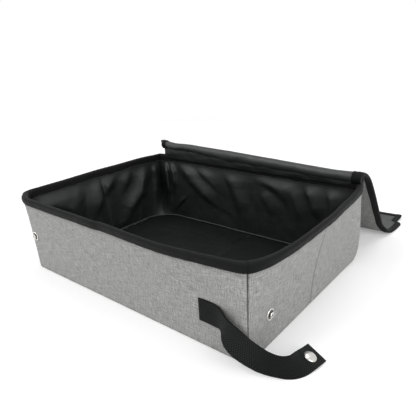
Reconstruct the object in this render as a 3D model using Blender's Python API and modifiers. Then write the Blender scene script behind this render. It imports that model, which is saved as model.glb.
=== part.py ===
"""Foldable fabric litter box, open for use, with its lid draped behind it.

Metres, +Z up. The origin is the centre of the box's base on the ground, +X runs
along the long side and -Y is the front, where the carrying strap is sewn.
Each wall is a slab of outer fabric, a stiffening board and a waterproof liner,
with a folded binding over its top edge. The end walls fold inward at a crease.
"""
import math

import bmesh
import bpy
from mathutils import Vector

# Overall size of the open box
BOX_LENGTH = 0.400
BOX_DEPTH = 0.286
BOX_HEIGHT = 0.123

# Layers of a wall, from outside to inside
COVER_THICK = 0.0012
BOARD_THICK = 0.0024
LINER_THICK = 0.0008
LAYER_GAP = 0.0003
BINDING_DROP = 0.0100

# Layers of the floor, from the ground up
BASE_THICK = 0.0012
PAD_THICK = 0.0026
FLOOR_LINER_THICK = 0.0008
CREASE_WIDTH = 0.0024

# Lid: a rolled hinge over the back rim, a main panel and a front flap
LID_SIDE_CLEARANCE = 0.0020
LID_COVER_THICK = 0.0010
LID_BOARD_THICK = 0.0016
LID_LINER_THICK = 0.0006
LID_BINDING_WIDTH = 0.0090
ROLL_RADIUS = 0.0080
ROLL_THICK = 0.0026
ROLL_LIFT = 0.0004
ROLL_SWEEP_ANGLE = math.radians(217)
LID_CREASE_REACH = 0.140
FLAP_LENGTH = 0.089

# Strap of webbing, sewn to the front wall near its right end
STRAP_WIDTH = 0.0260
STRAP_THICK = 0.0018
PATCH_LENGTH = 0.0262
STRAP_ROOT_FROM_RIGHT = 0.0385
STRAP_ROOT_HEIGHT = 0.0515
STRAP_RUN = 0.0905
STRAP_SWEEP = 0.0530
STRAP_DROP = 0.0420
STRAP_END_LENGTH = 0.0210
STRAP_SECTIONS = 36

# Press snaps: a cap and socket on the strap, studs on the walls
CAP_RADIUS = 0.0072
CAP_HEIGHT = 0.0026
CAP_FROM_END = 0.0095
SOCKET_RADIUS = 0.0060
SOCKET_BORE = 0.0032
SOCKET_HEIGHT = 0.0032
STUD_FLANGE_RADIUS = 0.0065
STUD_FLANGE_THICK = 0.0008
STUD_RIM_WIDTH = 0.0012
STUD_RIM_RISE = 0.0006
STUD_BALL_RADIUS = 0.0028
STUD_NECK_RADIUS = 0.0023
STUD_HEIGHT = 0.0034
SHANK_RADIUS = 0.0018
SHANK_CLEARANCE = 0.0003
EYELET_RADIUS = 0.0044
EYELET_THICK = 0.0014
RIGHT_STUD_FROM_FRONT = 0.0415
RIGHT_STUD_HEIGHT = 0.0430
LEFT_STUD_FROM_LEFT = 0.0095
LEFT_STUD_HEIGHT = 0.0570
ROUND_STEPS = 32
CUT_OVERRUN = 0.0020

# Sizes worked out from those above
WALL_THICK = COVER_THICK + BOARD_THICK + LINER_THICK + 2 * LAYER_GAP
BOARD_OUT = COVER_THICK + LAYER_GAP
LINER_OUT = BOARD_OUT + BOARD_THICK + LAYER_GAP
HALF_LENGTH = BOX_LENGTH / 2
HALF_DEPTH = BOX_DEPTH / 2
CORNER_X = HALF_LENGTH - WALL_THICK
CORNER_Y = HALF_DEPTH - WALL_THICK - LAYER_GAP
CREASE_X = HALF_LENGTH + LAYER_GAP / 2
FLOOR_TOP = BASE_THICK + PAD_THICK + FLOOR_LINER_THICK + 2 * LAYER_GAP
LID_THICK = LID_COVER_THICK + LID_BOARD_THICK + LID_LINER_THICK + 2 * LAYER_GAP
LID_HALF = CORNER_X - LID_SIDE_CLEARANCE
LID_FABRIC_HALF = LID_HALF - LID_BINDING_WIDTH - LAYER_GAP
ROLL_Y = HALF_DEPTH - WALL_THICK / 2
ROLL_Z = BOX_HEIGHT + ROLL_LIFT + ROLL_RADIUS
LID_CREASE_Y = HALF_DEPTH + LID_CREASE_REACH
LID_CREASE_Z = LID_THICK
LID_SPAN = math.hypot(LID_CREASE_Y - ROLL_Y, ROLL_Z - LID_CREASE_Z)
LID_SLOPE = math.atan2(ROLL_Z - LID_CREASE_Z, LID_CREASE_Y - ROLL_Y) + math.asin(ROLL_RADIUS / LID_SPAN)
LID_LENGTH = math.sqrt(LID_SPAN ** 2 - ROLL_RADIUS ** 2)
STRAP_ROOT = Vector((
    HALF_LENGTH - STRAP_ROOT_FROM_RIGHT,
    -HALF_DEPTH - LAYER_GAP - STRAP_THICK / 2,
    STRAP_ROOT_HEIGHT,
))

# Route of the free strap: its middle line as shares of the run to the right,
# the sweep to the back and the drop, then the lean of its upper edge in x and y
STRAP_ROUTE_shares = (
    (0.000, 0.000, 0.000, 0.00, 0.00),
    (0.138, -0.072, 0.095, 0.20, 0.00),
    (0.293, -0.138, 0.357, 0.42, 0.00),
    (0.448, -0.147, 0.655, 0.37, 0.05),
    (0.602, -0.072, 0.871, 0.12, 0.12),
    (0.768, 0.032, 0.905, 0.00, 0.06),
    (0.900, 0.249, 0.905, -0.18, -0.04),
    (0.978, 0.579, 0.975, -0.68, -0.07),
)
STRAP_END_HEADING_shares = (0.10, 1.00, 0.00)

bpy.ops.object.select_all(action="DESELECT")
for old in list(bpy.data.objects):
    bpy.data.objects.remove(old, do_unlink=True)

parts = bpy.data.collections.new("foldable_litter_box")
cutters = bpy.data.collections.new("cutters")
bpy.context.scene.collection.children.link(parts)
bpy.context.scene.collection.children.link(cutters)

BLACK_LINER = (0.012, 0.013, 0.013, 1.0)
BLACK_TAPE = (0.010, 0.011, 0.011, 1.0)
GREY_FABRIC = (0.33, 0.33, 0.325, 1.0)
BOARD_WHITE = (0.70, 0.70, 0.68, 1.0)
FOAM_GREY = (0.45, 0.45, 0.45, 1.0)
NICKEL = (0.80, 0.79, 0.76, 1.0)


def finish(name, colour, roughness, metallic=0.0):
    """Give the named piece its own plain material."""
    material = bpy.data.materials.new(name + "_finish")
    material.use_nodes = True
    shader = material.node_tree.nodes["Principled BSDF"]
    shader.inputs["Base Color"].default_value = colour
    shader.inputs["Roughness"].default_value = roughness
    shader.inputs["Metallic"].default_value = metallic
    return material


LOOKS = {
    "liner": (BLACK_LINER, 0.35, 0.0),
    "tape": (BLACK_TAPE, 0.85, 0.0),
    "grey": (GREY_FABRIC, 0.90, 0.0),
    "board": (BOARD_WHITE, 0.50, 0.0),
    "foam": (FOAM_GREY, 0.95, 0.0),
    "nickel": (NICKEL, 0.25, 1.0),
}


def axis_empty(name, place, parent=None, tilt=0.0):
    """An empty on a joint's axis; the pieces that turn about it are its children."""
    empty = bpy.data.objects.new(name, None)
    empty.empty_display_size = WALL_THICK
    parts.objects.link(empty)
    empty.parent = parent
    empty.location = place
    empty.rotation_euler = (tilt, 0, 0)
    return empty


def adopt(piece, name, look, parent, place=(0, 0, 0)):
    """Name a piece, give it its finish and hang it on its body's empty."""
    piece.name = name
    piece.data.name = name
    piece.data.materials.clear()
    piece.data.materials.append(finish(name, *LOOKS[look]))
    for group in list(piece.users_collection):
        group.objects.unlink(piece)
    parts.objects.link(piece)
    piece.parent = parent
    piece.location = place
    return piece


def block(name, look, low, high, parent):
    """A rectangular layer between two corners given in its parent's frame."""
    low = Vector(low)
    high = Vector(high)
    bpy.ops.mesh.primitive_cube_add(size=1)
    piece = bpy.context.object
    for vertex in piece.data.vertices:
        vertex.co = Vector([c * s for c, s in zip(vertex.co, high - low)])
    return adopt(piece, name, look, parent, (low + high) / 2)


def extrusion(name, look, outline, start, end, along, parent):
    """A flat outline drawn in the two other axes and run along X or Y."""
    curve = bpy.data.curves.new(name, "CURVE")
    curve.dimensions = "2D"
    curve.fill_mode = "BOTH"
    curve.extrude = (end - start) / 2
    spline = curve.splines.new("POLY")
    spline.points.add(len(outline) - 1)
    for point, (a, b) in zip(spline.points, outline):
        point.co = (a, b, 0, 1)
    spline.use_cyclic_u = True
    piece = bpy.data.objects.new(name, curve)
    parts.objects.link(piece)
    middle = (start + end) / 2
    if along == "X":
        piece.rotation_euler = (math.pi / 2, 0, math.pi / 2)
        place = (middle, 0, 0)
    else:
        piece.rotation_euler = (math.pi / 2, 0, math.pi)
        place = (0, middle, 0)
    return adopt(piece, name, look, parent, place)


def channel(low, high, depth, wall, lip):
    """Outline of a folded binding: a U that is open at its lower side.

    low and high are the outer faces, depth is how far the U reaches down from
    zero, wall holds the thickness of the low leg and of the high leg.
    """
    return [
        (low, 0), (low, -depth), (low + wall[0], -depth), (low + wall[0], -lip),
        (high - wall[1], -lip), (high - wall[1], -depth), (high, -depth), (high, 0),
    ]


def turned(name, look, profile, parent):
    """A round piece: an outline of radius and height, turned about Z."""
    mesh = bpy.data.meshes.new(name)
    mesh.from_pydata([(r, 0, z) for r, z in profile], [(i, i + 1) for i in range(len(profile) - 1)], [])
    piece = bpy.data.objects.new(name, mesh)
    parts.objects.link(piece)
    screw = piece.modifiers.new("turn", "SCREW")
    screw.steps = ROUND_STEPS
    screw.render_steps = ROUND_STEPS
    screw.use_merge_vertices = True
    screw.merge_threshold = LAYER_GAP / 10
    return adopt(piece, name, look, parent)


def ring(name, look, inner, outer, low, high, parent):
    """A round washer or tube between two heights."""
    profile = [(outer, high), (outer, low), (inner, low), (inner, high), (outer, high)]
    return turned(name, look, profile, parent)


def bore(pieces, radius, length, parent, name):
    """Cut a round hole along the parent's Z through each piece."""
    bpy.ops.mesh.primitive_cylinder_add(radius=radius, depth=length, vertices=ROUND_STEPS)
    cutter = bpy.context.object
    cutter.name = name
    for group in list(cutter.users_collection):
        group.objects.unlink(cutter)
    cutters.objects.link(cutter)
    cutter.parent = parent
    cutter.hide_render = True
    cutter.display_type = "WIRE"
    for piece in pieces:
        cut = piece.modifiers.new("hole", "BOOLEAN")
        cut.operation = "DIFFERENCE"
        cut.object = cutter


def as_mesh(piece):
    """Turn an extruded curve into a mesh, so that a hole can be cut in it."""
    depsgraph = bpy.context.evaluated_depsgraph_get()
    mesh = bpy.data.meshes.new_from_object(piece.evaluated_get(depsgraph))
    weld = bmesh.new()
    weld.from_mesh(mesh)
    bmesh.ops.remove_doubles(weld, verts=weld.verts, dist=LAYER_GAP / 10)
    weld.to_mesh(mesh)
    weld.free()
    name = piece.name
    solid = bpy.data.objects.new(name + "_solid", mesh)
    parts.objects.link(solid)
    solid.parent = piece.parent
    solid.location = piece.location
    solid.rotation_euler = piece.rotation_euler
    bpy.data.objects.remove(piece, do_unlink=True)
    solid.name = name
    return solid


def wall_layers(name, parent, centre, start, end, face, side, run):
    """The layers of one wall panel, as solids in the parent's frame.

    run is the axis that the wall follows, face is the wall's outer face on the
    other axis, side is +1 where the outside is at the greater coordinate, and
    centre is the parent's place in the world.
    """
    def span(out_a, out_b):
        a = face - side * out_a
        b = face - side * out_b
        return min(a, b), max(a, b)

    def layer(part, look, outs, low_z, high_z, begin=start, finish_at=end):
        near, far = span(*outs)
        if run == "X":
            low = (begin, near, low_z)
            high = (finish_at, far, high_z)
        else:
            low = (near, begin, low_z)
            high = (far, finish_at, high_z)
        return block(part, look, Vector(low) - centre, Vector(high) - centre, parent)

    fabric_top = BOX_HEIGHT - BINDING_DROP - LAYER_GAP
    low_face, high_face = span(0, WALL_THICK)
    toe = [
        (0, 0), (0, fabric_top), (-side * COVER_THICK, fabric_top),
        (-side * COVER_THICK, COVER_THICK), (-side * WALL_THICK, COVER_THICK), (-side * WALL_THICK, 0),
    ]
    mirror = 1 if run == "X" else -1
    across = centre.y if run == "X" else centre.x
    along = centre.x if run == "X" else centre.y
    outline = [(mirror * (face - across + a), b - centre.z) for a, b in toe]
    cover = extrusion(name + "_cover", "grey", outline, start - along, end - along, run, parent)
    cover = as_mesh(cover)
    liner = layer(
        name + "_liner", "liner", (LINER_OUT, WALL_THICK), FLOOR_TOP + LAYER_GAP, fabric_top)
    board_outs = (BOARD_OUT, BOARD_OUT + BOARD_THICK)
    board_low = COVER_THICK + LAYER_GAP
    board_high = BOX_HEIGHT - COVER_THICK - LAYER_GAP
    if run == "X":
        boards = [
            layer(name + "_board_left", "board", board_outs, board_low, board_high,
                  start, -CREASE_WIDTH / 2),
            layer(name + "_board_right", "board", board_outs, board_low, board_high,
                  CREASE_WIDTH / 2, end),
        ]
    else:
        boards = [layer(name + "_board", "board", board_outs, board_low, board_high)]
    legs = (LINER_THICK, COVER_THICK) if side > 0 else (COVER_THICK, LINER_THICK)
    rim = channel(low_face, high_face, BINDING_DROP, legs, COVER_THICK)
    rim = [(mirror * (a - across), b + BOX_HEIGHT - centre.z) for a, b in rim]
    binding = extrusion(name + "_binding", "tape", rim, start - along, end - along, run, parent)
    return cover, boards, liner, binding


def snap_stud(name, mount, pieces_cover, pieces_board):
    """A nickel stud riveted through the outer fabric, with its eyelet in the board."""
    ball_mid = STUD_HEIGHT - STUD_BALL_RADIUS / 2
    rim_inner = STUD_FLANGE_RADIUS - STUD_RIM_WIDTH
    profile = [
        (0, STUD_HEIGHT), (STUD_NECK_RADIUS, STUD_HEIGHT), (STUD_BALL_RADIUS, ball_mid),
        (STUD_NECK_RADIUS, STUD_FLANGE_THICK + LAYER_GAP), (rim_inner, STUD_FLANGE_THICK + LAYER_GAP),
        (rim_inner + STUD_RIM_WIDTH / 3, STUD_FLANGE_THICK + STUD_RIM_RISE),
        (STUD_FLANGE_RADIUS - STUD_RIM_WIDTH / 3, STUD_FLANGE_THICK + STUD_RIM_RISE),
        (STUD_FLANGE_RADIUS, STUD_FLANGE_THICK), (STUD_FLANGE_RADIUS, LAYER_GAP),
        (SHANK_RADIUS, LAYER_GAP), (SHANK_RADIUS, -BOARD_OUT - EYELET_THICK), (0, -BOARD_OUT - EYELET_THICK),
    ]
    turned(name + "_snap_stud", "nickel", profile, mount)
    inner = SHANK_RADIUS + SHANK_CLEARANCE
    ring(name + "_stud_eyelet", "nickel", inner, EYELET_RADIUS,
         -BOARD_OUT - EYELET_THICK, -BOARD_OUT, mount)
    bore(pieces_cover, inner, 2 * BOARD_OUT + CUT_OVERRUN, mount, name + "_cover_hole")
    bore(pieces_board, EYELET_RADIUS + SHANK_CLEARANCE, 2 * LINER_OUT + CUT_OVERRUN, mount,
         name + "_board_hole")


def route_point(row):
    """The middle of the strap and the direction of its upper edge at one row."""
    run, sweep, drop, lean_x, lean_y = row
    middle = STRAP_ROOT + Vector((run * STRAP_RUN, sweep * STRAP_SWEEP, -drop * STRAP_DROP))
    up = Vector((lean_x, lean_y, math.sqrt(1 - lean_x ** 2 - lean_y ** 2)))
    return middle, up


def smooth_step(a, b, c, d, t):
    """A Catmull-Rom point between b and c."""
    return 0.5 * (2 * b + (c - a) * t + (2 * a - 5 * b + 4 * c - d) * t ** 2
                  + (3 * b - a - 3 * c + d) * t ** 3)


def strap_sections():
    """Middle, heading and upward direction at each section of the free strap."""
    knots = [route_point(row) for row in STRAP_ROUTE_shares]
    heading_end = Vector(STRAP_END_HEADING_shares).normalized()
    last = knots[-1][0]
    before = (2 * knots[0][0] - knots[1][0], knots[0][1])
    after = (last + heading_end * STRAP_END_LENGTH, knots[-1][1])
    chain = [before] + knots + [after]
    samples = []
    for i in range(STRAP_SECTIONS):
        place = i / (STRAP_SECTIONS - 1) * (len(knots) - 1)
        k = min(int(place), len(knots) - 2)
        t = place - k
        middle = smooth_step(*[chain[k + j][0] for j in range(4)], t)
        up = smooth_step(*[chain[k + j][1] for j in range(4)], t).normalized()
        samples.append((middle, up))
    sections = []
    for i, (middle, up) in enumerate(samples):
        ahead = samples[min(i + 1, STRAP_SECTIONS - 1)][0]
        behind = samples[max(i - 1, 0)][0]
        heading = (ahead - behind).normalized()
        if i == 0:
            heading = Vector((1, 0, 0))
        if i == STRAP_SECTIONS - 1:
            heading = heading_end
        heading = (heading - up * heading.dot(up)).normalized()
        sections.append((middle, heading, up))
    middle, heading, up = sections[-1]
    sections.append((middle + heading * STRAP_END_LENGTH, heading, up))
    return sections


def ribbon(name, look, sections, parent, centre):
    """Loft the flat webbing through its sections."""
    build = bmesh.new()
    loops = []
    for middle, heading, up in sections:
        out = up.cross(heading)
        corners = []
        for a, b in ((1, 1), (1, -1), (-1, -1), (-1, 1)):
            corner = middle + up * (a * STRAP_WIDTH / 2) + out * (b * STRAP_THICK / 2)
            corners.append(build.verts.new(corner - centre))
        loops.append(corners)
    for first, second in zip(loops, loops[1:]):
        for j in range(4):
            k = (j + 1) % 4
            build.faces.new((first[j], first[k], second[k], second[j]))
    build.faces.new(list(reversed(loops[0])))
    build.faces.new(loops[-1])
    bmesh.ops.recalc_face_normals(build, faces=build.faces)
    mesh = bpy.data.meshes.new(name)
    build.to_mesh(mesh)
    build.free()
    piece = bpy.data.objects.new(name, mesh)
    parts.objects.link(piece)
    return adopt(piece, name, look, parent)


def build_floor(root):
    """Base fabric, two foam pads with a crease between them, and the floor liner."""
    edge_x = CORNER_X - LAYER_GAP
    edge_y = CORNER_Y
    pad_low = BASE_THICK + LAYER_GAP
    pad_high = pad_low + PAD_THICK
    block("base_cover", "grey", (-edge_x, -edge_y, 0), (edge_x, edge_y, BASE_THICK), root)
    block("floor_pad_left", "foam", (-edge_x, -edge_y, pad_low), (-CREASE_WIDTH / 2, edge_y, pad_high), root)
    block("floor_pad_right", "foam", (CREASE_WIDTH / 2, -edge_y, pad_low), (edge_x, edge_y, pad_high), root)
    block("floor_liner", "liner", (-edge_x, -edge_y, pad_high + LAYER_GAP), (edge_x, edge_y, FLOOR_TOP), root)


def build_walls(root):
    """Back and front walls, and the two creased end walls that join them."""
    origin = Vector((0, 0, 0))
    wall_layers("back", root, origin, -HALF_LENGTH, HALF_LENGTH, HALF_DEPTH, 1, "X")
    layers = {}
    for name, side in (("right", 1), ("left", -1)):
        rear_at = Vector((side * CORNER_X, CORNER_Y, 0))
        crease_at = Vector((side * CREASE_X, 0, 0))
        rear = axis_empty(name + "_rear_axis", rear_at, root)
        crease = axis_empty(name + "_crease_axis", crease_at - rear_at, rear)
        face = side * HALF_LENGTH
        half_gap = LAYER_GAP / 2
        wall_layers(name + "_rear", rear, rear_at, half_gap, CORNER_Y, face, side, "Y")
        layers[name] = wall_layers(
            name + "_front", crease, crease_at, -CORNER_Y, -half_gap, face, side, "Y")
        layers[name + "_axis"] = crease
    front_at = Vector((CORNER_X, -CORNER_Y, 0))
    crease_at = Vector((CREASE_X, 0, 0))
    front = axis_empty("front_axis", front_at - crease_at, layers["right_axis"])
    layers["front"] = wall_layers(
        "front", front, front_at, -HALF_LENGTH, HALF_LENGTH, -HALF_DEPTH, -1, "X")
    stud = axis_empty("right_stud_seat", Vector((
        HALF_LENGTH, RIGHT_STUD_FROM_FRONT - HALF_DEPTH, RIGHT_STUD_HEIGHT)) - crease_at,
        layers["right_axis"])
    stud.rotation_euler = (0, math.pi / 2, 0)
    snap_stud("right", stud, [layers["right"][0]], layers["right"][1])
    stud = axis_empty("left_stud_seat", Vector((
        LEFT_STUD_FROM_LEFT - HALF_LENGTH, -HALF_DEPTH, LEFT_STUD_HEIGHT)) - front_at, front)
    stud.rotation_euler = (math.pi / 2, 0, 0)
    snap_stud("left", stud, [layers["front"][0]], [layers["front"][1][0]])
    return front, front_at


def lid_edges(name, parent, begin, finish_at, top):
    """The folded bindings along both side edges of a lid panel."""
    legs = (LID_COVER_THICK, LID_LINER_THICK)
    for side, where in ((1, "right"), (-1, "left")):
        flat = channel(top - LID_THICK, top, LID_BINDING_WIDTH, legs, LID_COVER_THICK)
        outline = [(-side * (LID_HALF + b), a) for a, b in flat]
        extrusion(name + "_binding_" + where, "tape", outline, begin, finish_at, "Y", parent)


def lid_layers(name, parent, begin, finish_at, top, fabric_end, board_end):
    """Cover, board and liner of a lid panel; top is its lined face."""
    cover_high = top - LID_THICK + LID_COVER_THICK
    board_low = cover_high + LAYER_GAP
    board_high = board_low + LID_BOARD_THICK
    board_half = LID_HALF - LID_COVER_THICK - LAYER_GAP
    block(name + "_cover", "grey", (-LID_FABRIC_HALF, begin, top - LID_THICK),
          (LID_FABRIC_HALF, fabric_end, cover_high), parent)
    block(name + "_board", "board", (-board_half, begin, board_low), (board_half, board_end, board_high), parent)
    block(name + "_liner", "liner", (-LID_FABRIC_HALF, begin, board_high + LAYER_GAP),
          (LID_FABRIC_HALF, fabric_end, top), parent)
    lid_edges(name, parent, begin, finish_at, top)


def roll_outline():
    """The C of the rolled hinge, from the lid panel round under the axis."""
    steps = ROUND_STEPS
    outline = []
    for radius, order in ((ROLL_RADIUS, range(steps + 1)), (ROLL_RADIUS - ROLL_THICK, range(steps, -1, -1))):
        for i in order:
            angle = math.pi / 2 + ROLL_SWEEP_ANGLE * i / steps
            outline.append((radius * math.cos(angle), radius * math.sin(angle)))
    return outline


def build_lid(root):
    """The rolled hinge, the sloping main panel and the flap that lies on the ground."""
    lid = axis_empty("lid_axis", (0, ROLL_Y, ROLL_Z), root, -LID_SLOPE)
    outline = roll_outline()
    extrusion("lid_roll", "liner", outline, -LID_FABRIC_HALF, LID_FABRIC_HALF, "X", lid)
    extrusion("lid_roll_band_right", "tape", outline, LID_HALF - LID_BINDING_WIDTH, LID_HALF, "X", lid)
    extrusion("lid_roll_band_left", "tape", outline, -LID_HALF, LID_BINDING_WIDTH - LID_HALF, "X", lid)
    end = LID_LENGTH - LAYER_GAP / 2
    lid_layers("lid", lid, LAYER_GAP, end, ROLL_RADIUS, end, end)
    crease = axis_empty("lid_crease_axis", (0, LID_LENGTH, ROLL_RADIUS), lid, LID_SLOPE)
    fabric_end = FLAP_LENGTH - LID_BINDING_WIDTH - LAYER_GAP
    board_end = FLAP_LENGTH - LID_COVER_THICK - LAYER_GAP
    lid_layers("flap", crease, LAYER_GAP / 2, FLAP_LENGTH, 0, fabric_end, board_end)
    hem = channel(-LID_THICK, 0, LID_BINDING_WIDTH, (LID_COVER_THICK, LID_LINER_THICK), LID_COVER_THICK)
    hem = [(FLAP_LENGTH + b, a) for a, b in hem]
    extrusion("flap_binding_end", "tape", hem, -LID_FABRIC_HALF, LID_FABRIC_HALF, "X", crease)


def build_strap(front, front_at):
    """The sewn patch on the front wall and the free webbing with its snap."""
    half = STRAP_WIDTH / 2
    low = STRAP_ROOT + Vector((-PATCH_LENGTH - LAYER_GAP, -STRAP_THICK / 2, -half)) - front_at
    high = STRAP_ROOT + Vector((-LAYER_GAP, STRAP_THICK / 2, half)) - front_at
    block("strap_patch", "tape", low, high, front)
    hinge_at = STRAP_ROOT + Vector((-LAYER_GAP / 2, -STRAP_THICK / 2, 0))
    strap = axis_empty("strap_axis", hinge_at - front_at, front)
    sections = strap_sections()
    webbing = ribbon("strap_webbing", "tape", sections, strap, hinge_at)
    middle, heading, up = sections[-1]
    out = heading.cross(up)
    seat = axis_empty("snap_seat", middle - heading * CAP_FROM_END - hinge_at, strap)
    seat.rotation_mode = "QUATERNION"
    seat.rotation_quaternion = out.to_track_quat("Z", "X")
    face = STRAP_THICK / 2 + LAYER_GAP
    socket_low = -face - SOCKET_HEIGHT
    cap = [(0, face + CAP_HEIGHT)]
    dome_steps = ROUND_STEPS // 4
    for i in range(1, dome_steps + 1):
        angle = math.pi / 2 * i / dome_steps
        cap.append((CAP_RADIUS * math.sin(angle), face + CAP_HEIGHT * math.cos(angle)))
    cap += [(SHANK_RADIUS, face), (SHANK_RADIUS, -face), (0, -face)]
    turned("snap_cap", "nickel", cap, seat)
    ring("snap_socket", "nickel", SOCKET_BORE, SOCKET_RADIUS, socket_low, -face, seat)
    bore([webbing], SHANK_RADIUS + SHANK_CLEARANCE, STRAP_THICK + CUT_OVERRUN, seat, "strap_hole")


base = axis_empty("litter_box", (0, 0, 0))
build_floor(base)
front_wall, front_place = build_walls(base)
build_lid(base)
build_strap(front_wall, front_place)
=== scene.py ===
"""Looks for the foldable litter box: soft walls with a folded binding, a wrinkled
liner, the lid draped to the ground behind the box, the webbing strap and its snaps.

Everything is in metres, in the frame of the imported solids: x runs along the box,
+y points to the back wall and z is up. Wall positions are written as a share u of
the wall's run from -1 to 1, a depth d under the wall's outer face and a height z.
"""
import math

import bmesh
import bpy
import numpy as np
from mathutils import Matrix, Vector


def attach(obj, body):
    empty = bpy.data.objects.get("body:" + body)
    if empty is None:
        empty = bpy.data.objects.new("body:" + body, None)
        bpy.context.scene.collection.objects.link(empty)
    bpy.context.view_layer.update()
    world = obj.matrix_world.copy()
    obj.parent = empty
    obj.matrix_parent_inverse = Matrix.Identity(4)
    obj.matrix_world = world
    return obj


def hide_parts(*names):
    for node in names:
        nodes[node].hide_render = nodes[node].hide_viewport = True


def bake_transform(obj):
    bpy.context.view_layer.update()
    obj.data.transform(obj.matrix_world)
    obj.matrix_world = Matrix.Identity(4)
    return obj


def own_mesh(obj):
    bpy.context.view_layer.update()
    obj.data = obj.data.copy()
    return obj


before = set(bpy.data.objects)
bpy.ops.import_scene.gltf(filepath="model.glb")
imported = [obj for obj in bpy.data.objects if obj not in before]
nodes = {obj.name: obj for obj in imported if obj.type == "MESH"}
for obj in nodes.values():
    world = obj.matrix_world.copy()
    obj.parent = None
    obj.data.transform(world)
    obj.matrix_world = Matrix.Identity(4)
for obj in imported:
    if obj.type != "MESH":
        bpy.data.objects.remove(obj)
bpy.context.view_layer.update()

# Box, and how its walls' bulge grows up to the rim and just over it
HALF_LENGTH = 0.200
HALF_DEPTH = 0.143
RIM_Z = 0.123
BULGE_POWER = 2.0
OVER_RIM = 1.02

# Outward bulge of each wall's rim in mm at places along the wall in mm
FRONT_BULGE_mm = ((-200, 0), (-190, 7.0), (-179, 10.2), (-150, 11.8), (-100, 12.8), (-60, 13.6),
                  (-18, 14.4), (-4, 12.9), (12, 13.6), (41, 15.6), (75, 16.5), (104, 16.5),
                  (130, 14.6), (152, 12.0), (178, 7.6), (190, 5.0), (196, 2.9), (200, 0))
RIGHT_BULGE_mm = ((-143, 0), (-140, 2.6), (-134, 6.4), (-126, 9.6), (-100, 15.2), (-78, 17.6),
                  (-50, 18.6), (-14, 18.4), (0, 18.0), (25, 16.9), (53, 14.6), (102, 10.2),
                  (126, 6.4), (137, 3.2), (143, 0))
LEFT_BULGE_mm = ((-143, 0), (-139, 6.0), (-131, 10.4), (-110, 11.4), (-70, 10.6), (-20, 10.2),
                 (13, 9.4), (60, 5.6), (105, 2.0), (143, 0))
BACK_BULGE_mm = ((-200, 0), (-190, 1.2), (-120, 2.4), (0, 3.0), (120, 2.4), (190, 1.2), (200, 0))
# The rear left corner leans in: its place, its lean at the rim, its reach and how it grows
LEANING_CORNER = (-0.200, 0.143)
CORNER_LEAN = (0.0060, -0.0010)
CORNER_REACH = 0.026
LEAN_POWER = 1.6
# The rear right corner stands full below the rim: its place, how far out, reach, level and fade
FULL_CORNER = (0.200, 0.143)
CORNER_SWELL = 0.0060
SWELL_REACH = 0.030
SWELL_LEVEL = 0.30
SWELL_FADE = 4
# Where a rivet or the sewn strap end holds a wall flat: place along it, height and reach
HELD_FLAT = {
    "front": ((0.1540, 0.0515, 0.0230), (-0.1905, 0.0570, 0.0150)),
    "right": ((-0.1015, 0.0430, 0.0150),),
}
# Noise: how many waves lie over each other, the spread of their sizes, and what tames the sum
RIPPLE_WAVES = 7
RIPPLE_SIZES = (0.6, 1.7)
RIPPLE_CALM = 4.0


def smooth(t):
    """0 to 1 with soft ends."""
    t = np.clip(t, 0.0, 1.0)
    return t * t * (3 - 2 * t)


def eased(low, distance, reach):
    """low at no distance and 1 from the reach on, with soft ends."""
    return low + (1 - low) * smooth(distance / reach)


def through(knots, at):
    """A smooth curve through knots of (place, value), read at the places in at."""
    place, value = (np.array(k, float) for k in zip(*knots))
    slope = np.gradient(value, place)
    at = np.clip(np.asarray(at, float), place[0], place[-1])
    i = np.clip(np.searchsorted(place, at, side="right") - 1, 0, len(place) - 2)
    span = place[i + 1] - place[i]
    t = (at - place[i]) / span
    return ((2 * t ** 3 - 3 * t ** 2 + 1) * value[i] + (t ** 3 - 2 * t ** 2 + t) * span * slope[i]
            + (3 * t ** 2 - 2 * t ** 3) * value[i + 1] + (t ** 3 - t ** 2) * span * slope[i + 1])


def ripple(a, b, seed, scale):
    """Smooth repeatable noise between about -1 and 1 at the places a, b."""
    rng = np.random.default_rng(seed)
    total = np.zeros(np.broadcast(a, b).shape)
    for _ in range(RIPPLE_WAVES):
        turn, phase = rng.uniform(0, 2 * math.pi, 2)
        size = scale * rng.uniform(*RIPPLE_SIZES)
        total = total + np.sin((a * math.cos(turn) + b * math.sin(turn)) * 2 * math.pi / size + phase)
    return total / RIPPLE_CALM


def ripples(a, b, seed, layers):
    """Ripples over each other: each layer's stretch of b, its size and its height."""
    return sum(ripple(a, b * stretch, seed + k, size) * height
               for k, (stretch, size, height) in enumerate(layers))


def near_corner(x, y, corner, reach):
    """1 at a corner of the box, fading out over the reach."""
    return np.exp(-((x - corner[0]) ** 2 + (y - corner[1]) ** 2) / reach ** 2)


def run_along(points):
    """Metres along a line of points."""
    return np.concatenate([[0], np.cumsum(np.linalg.norm(np.diff(points, axis=0), axis=1))])


def read_along(line, run, at):
    """The line's values at places along its run."""
    return np.stack([np.interp(at, run, column) for column in line.T], axis=-1)


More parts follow.
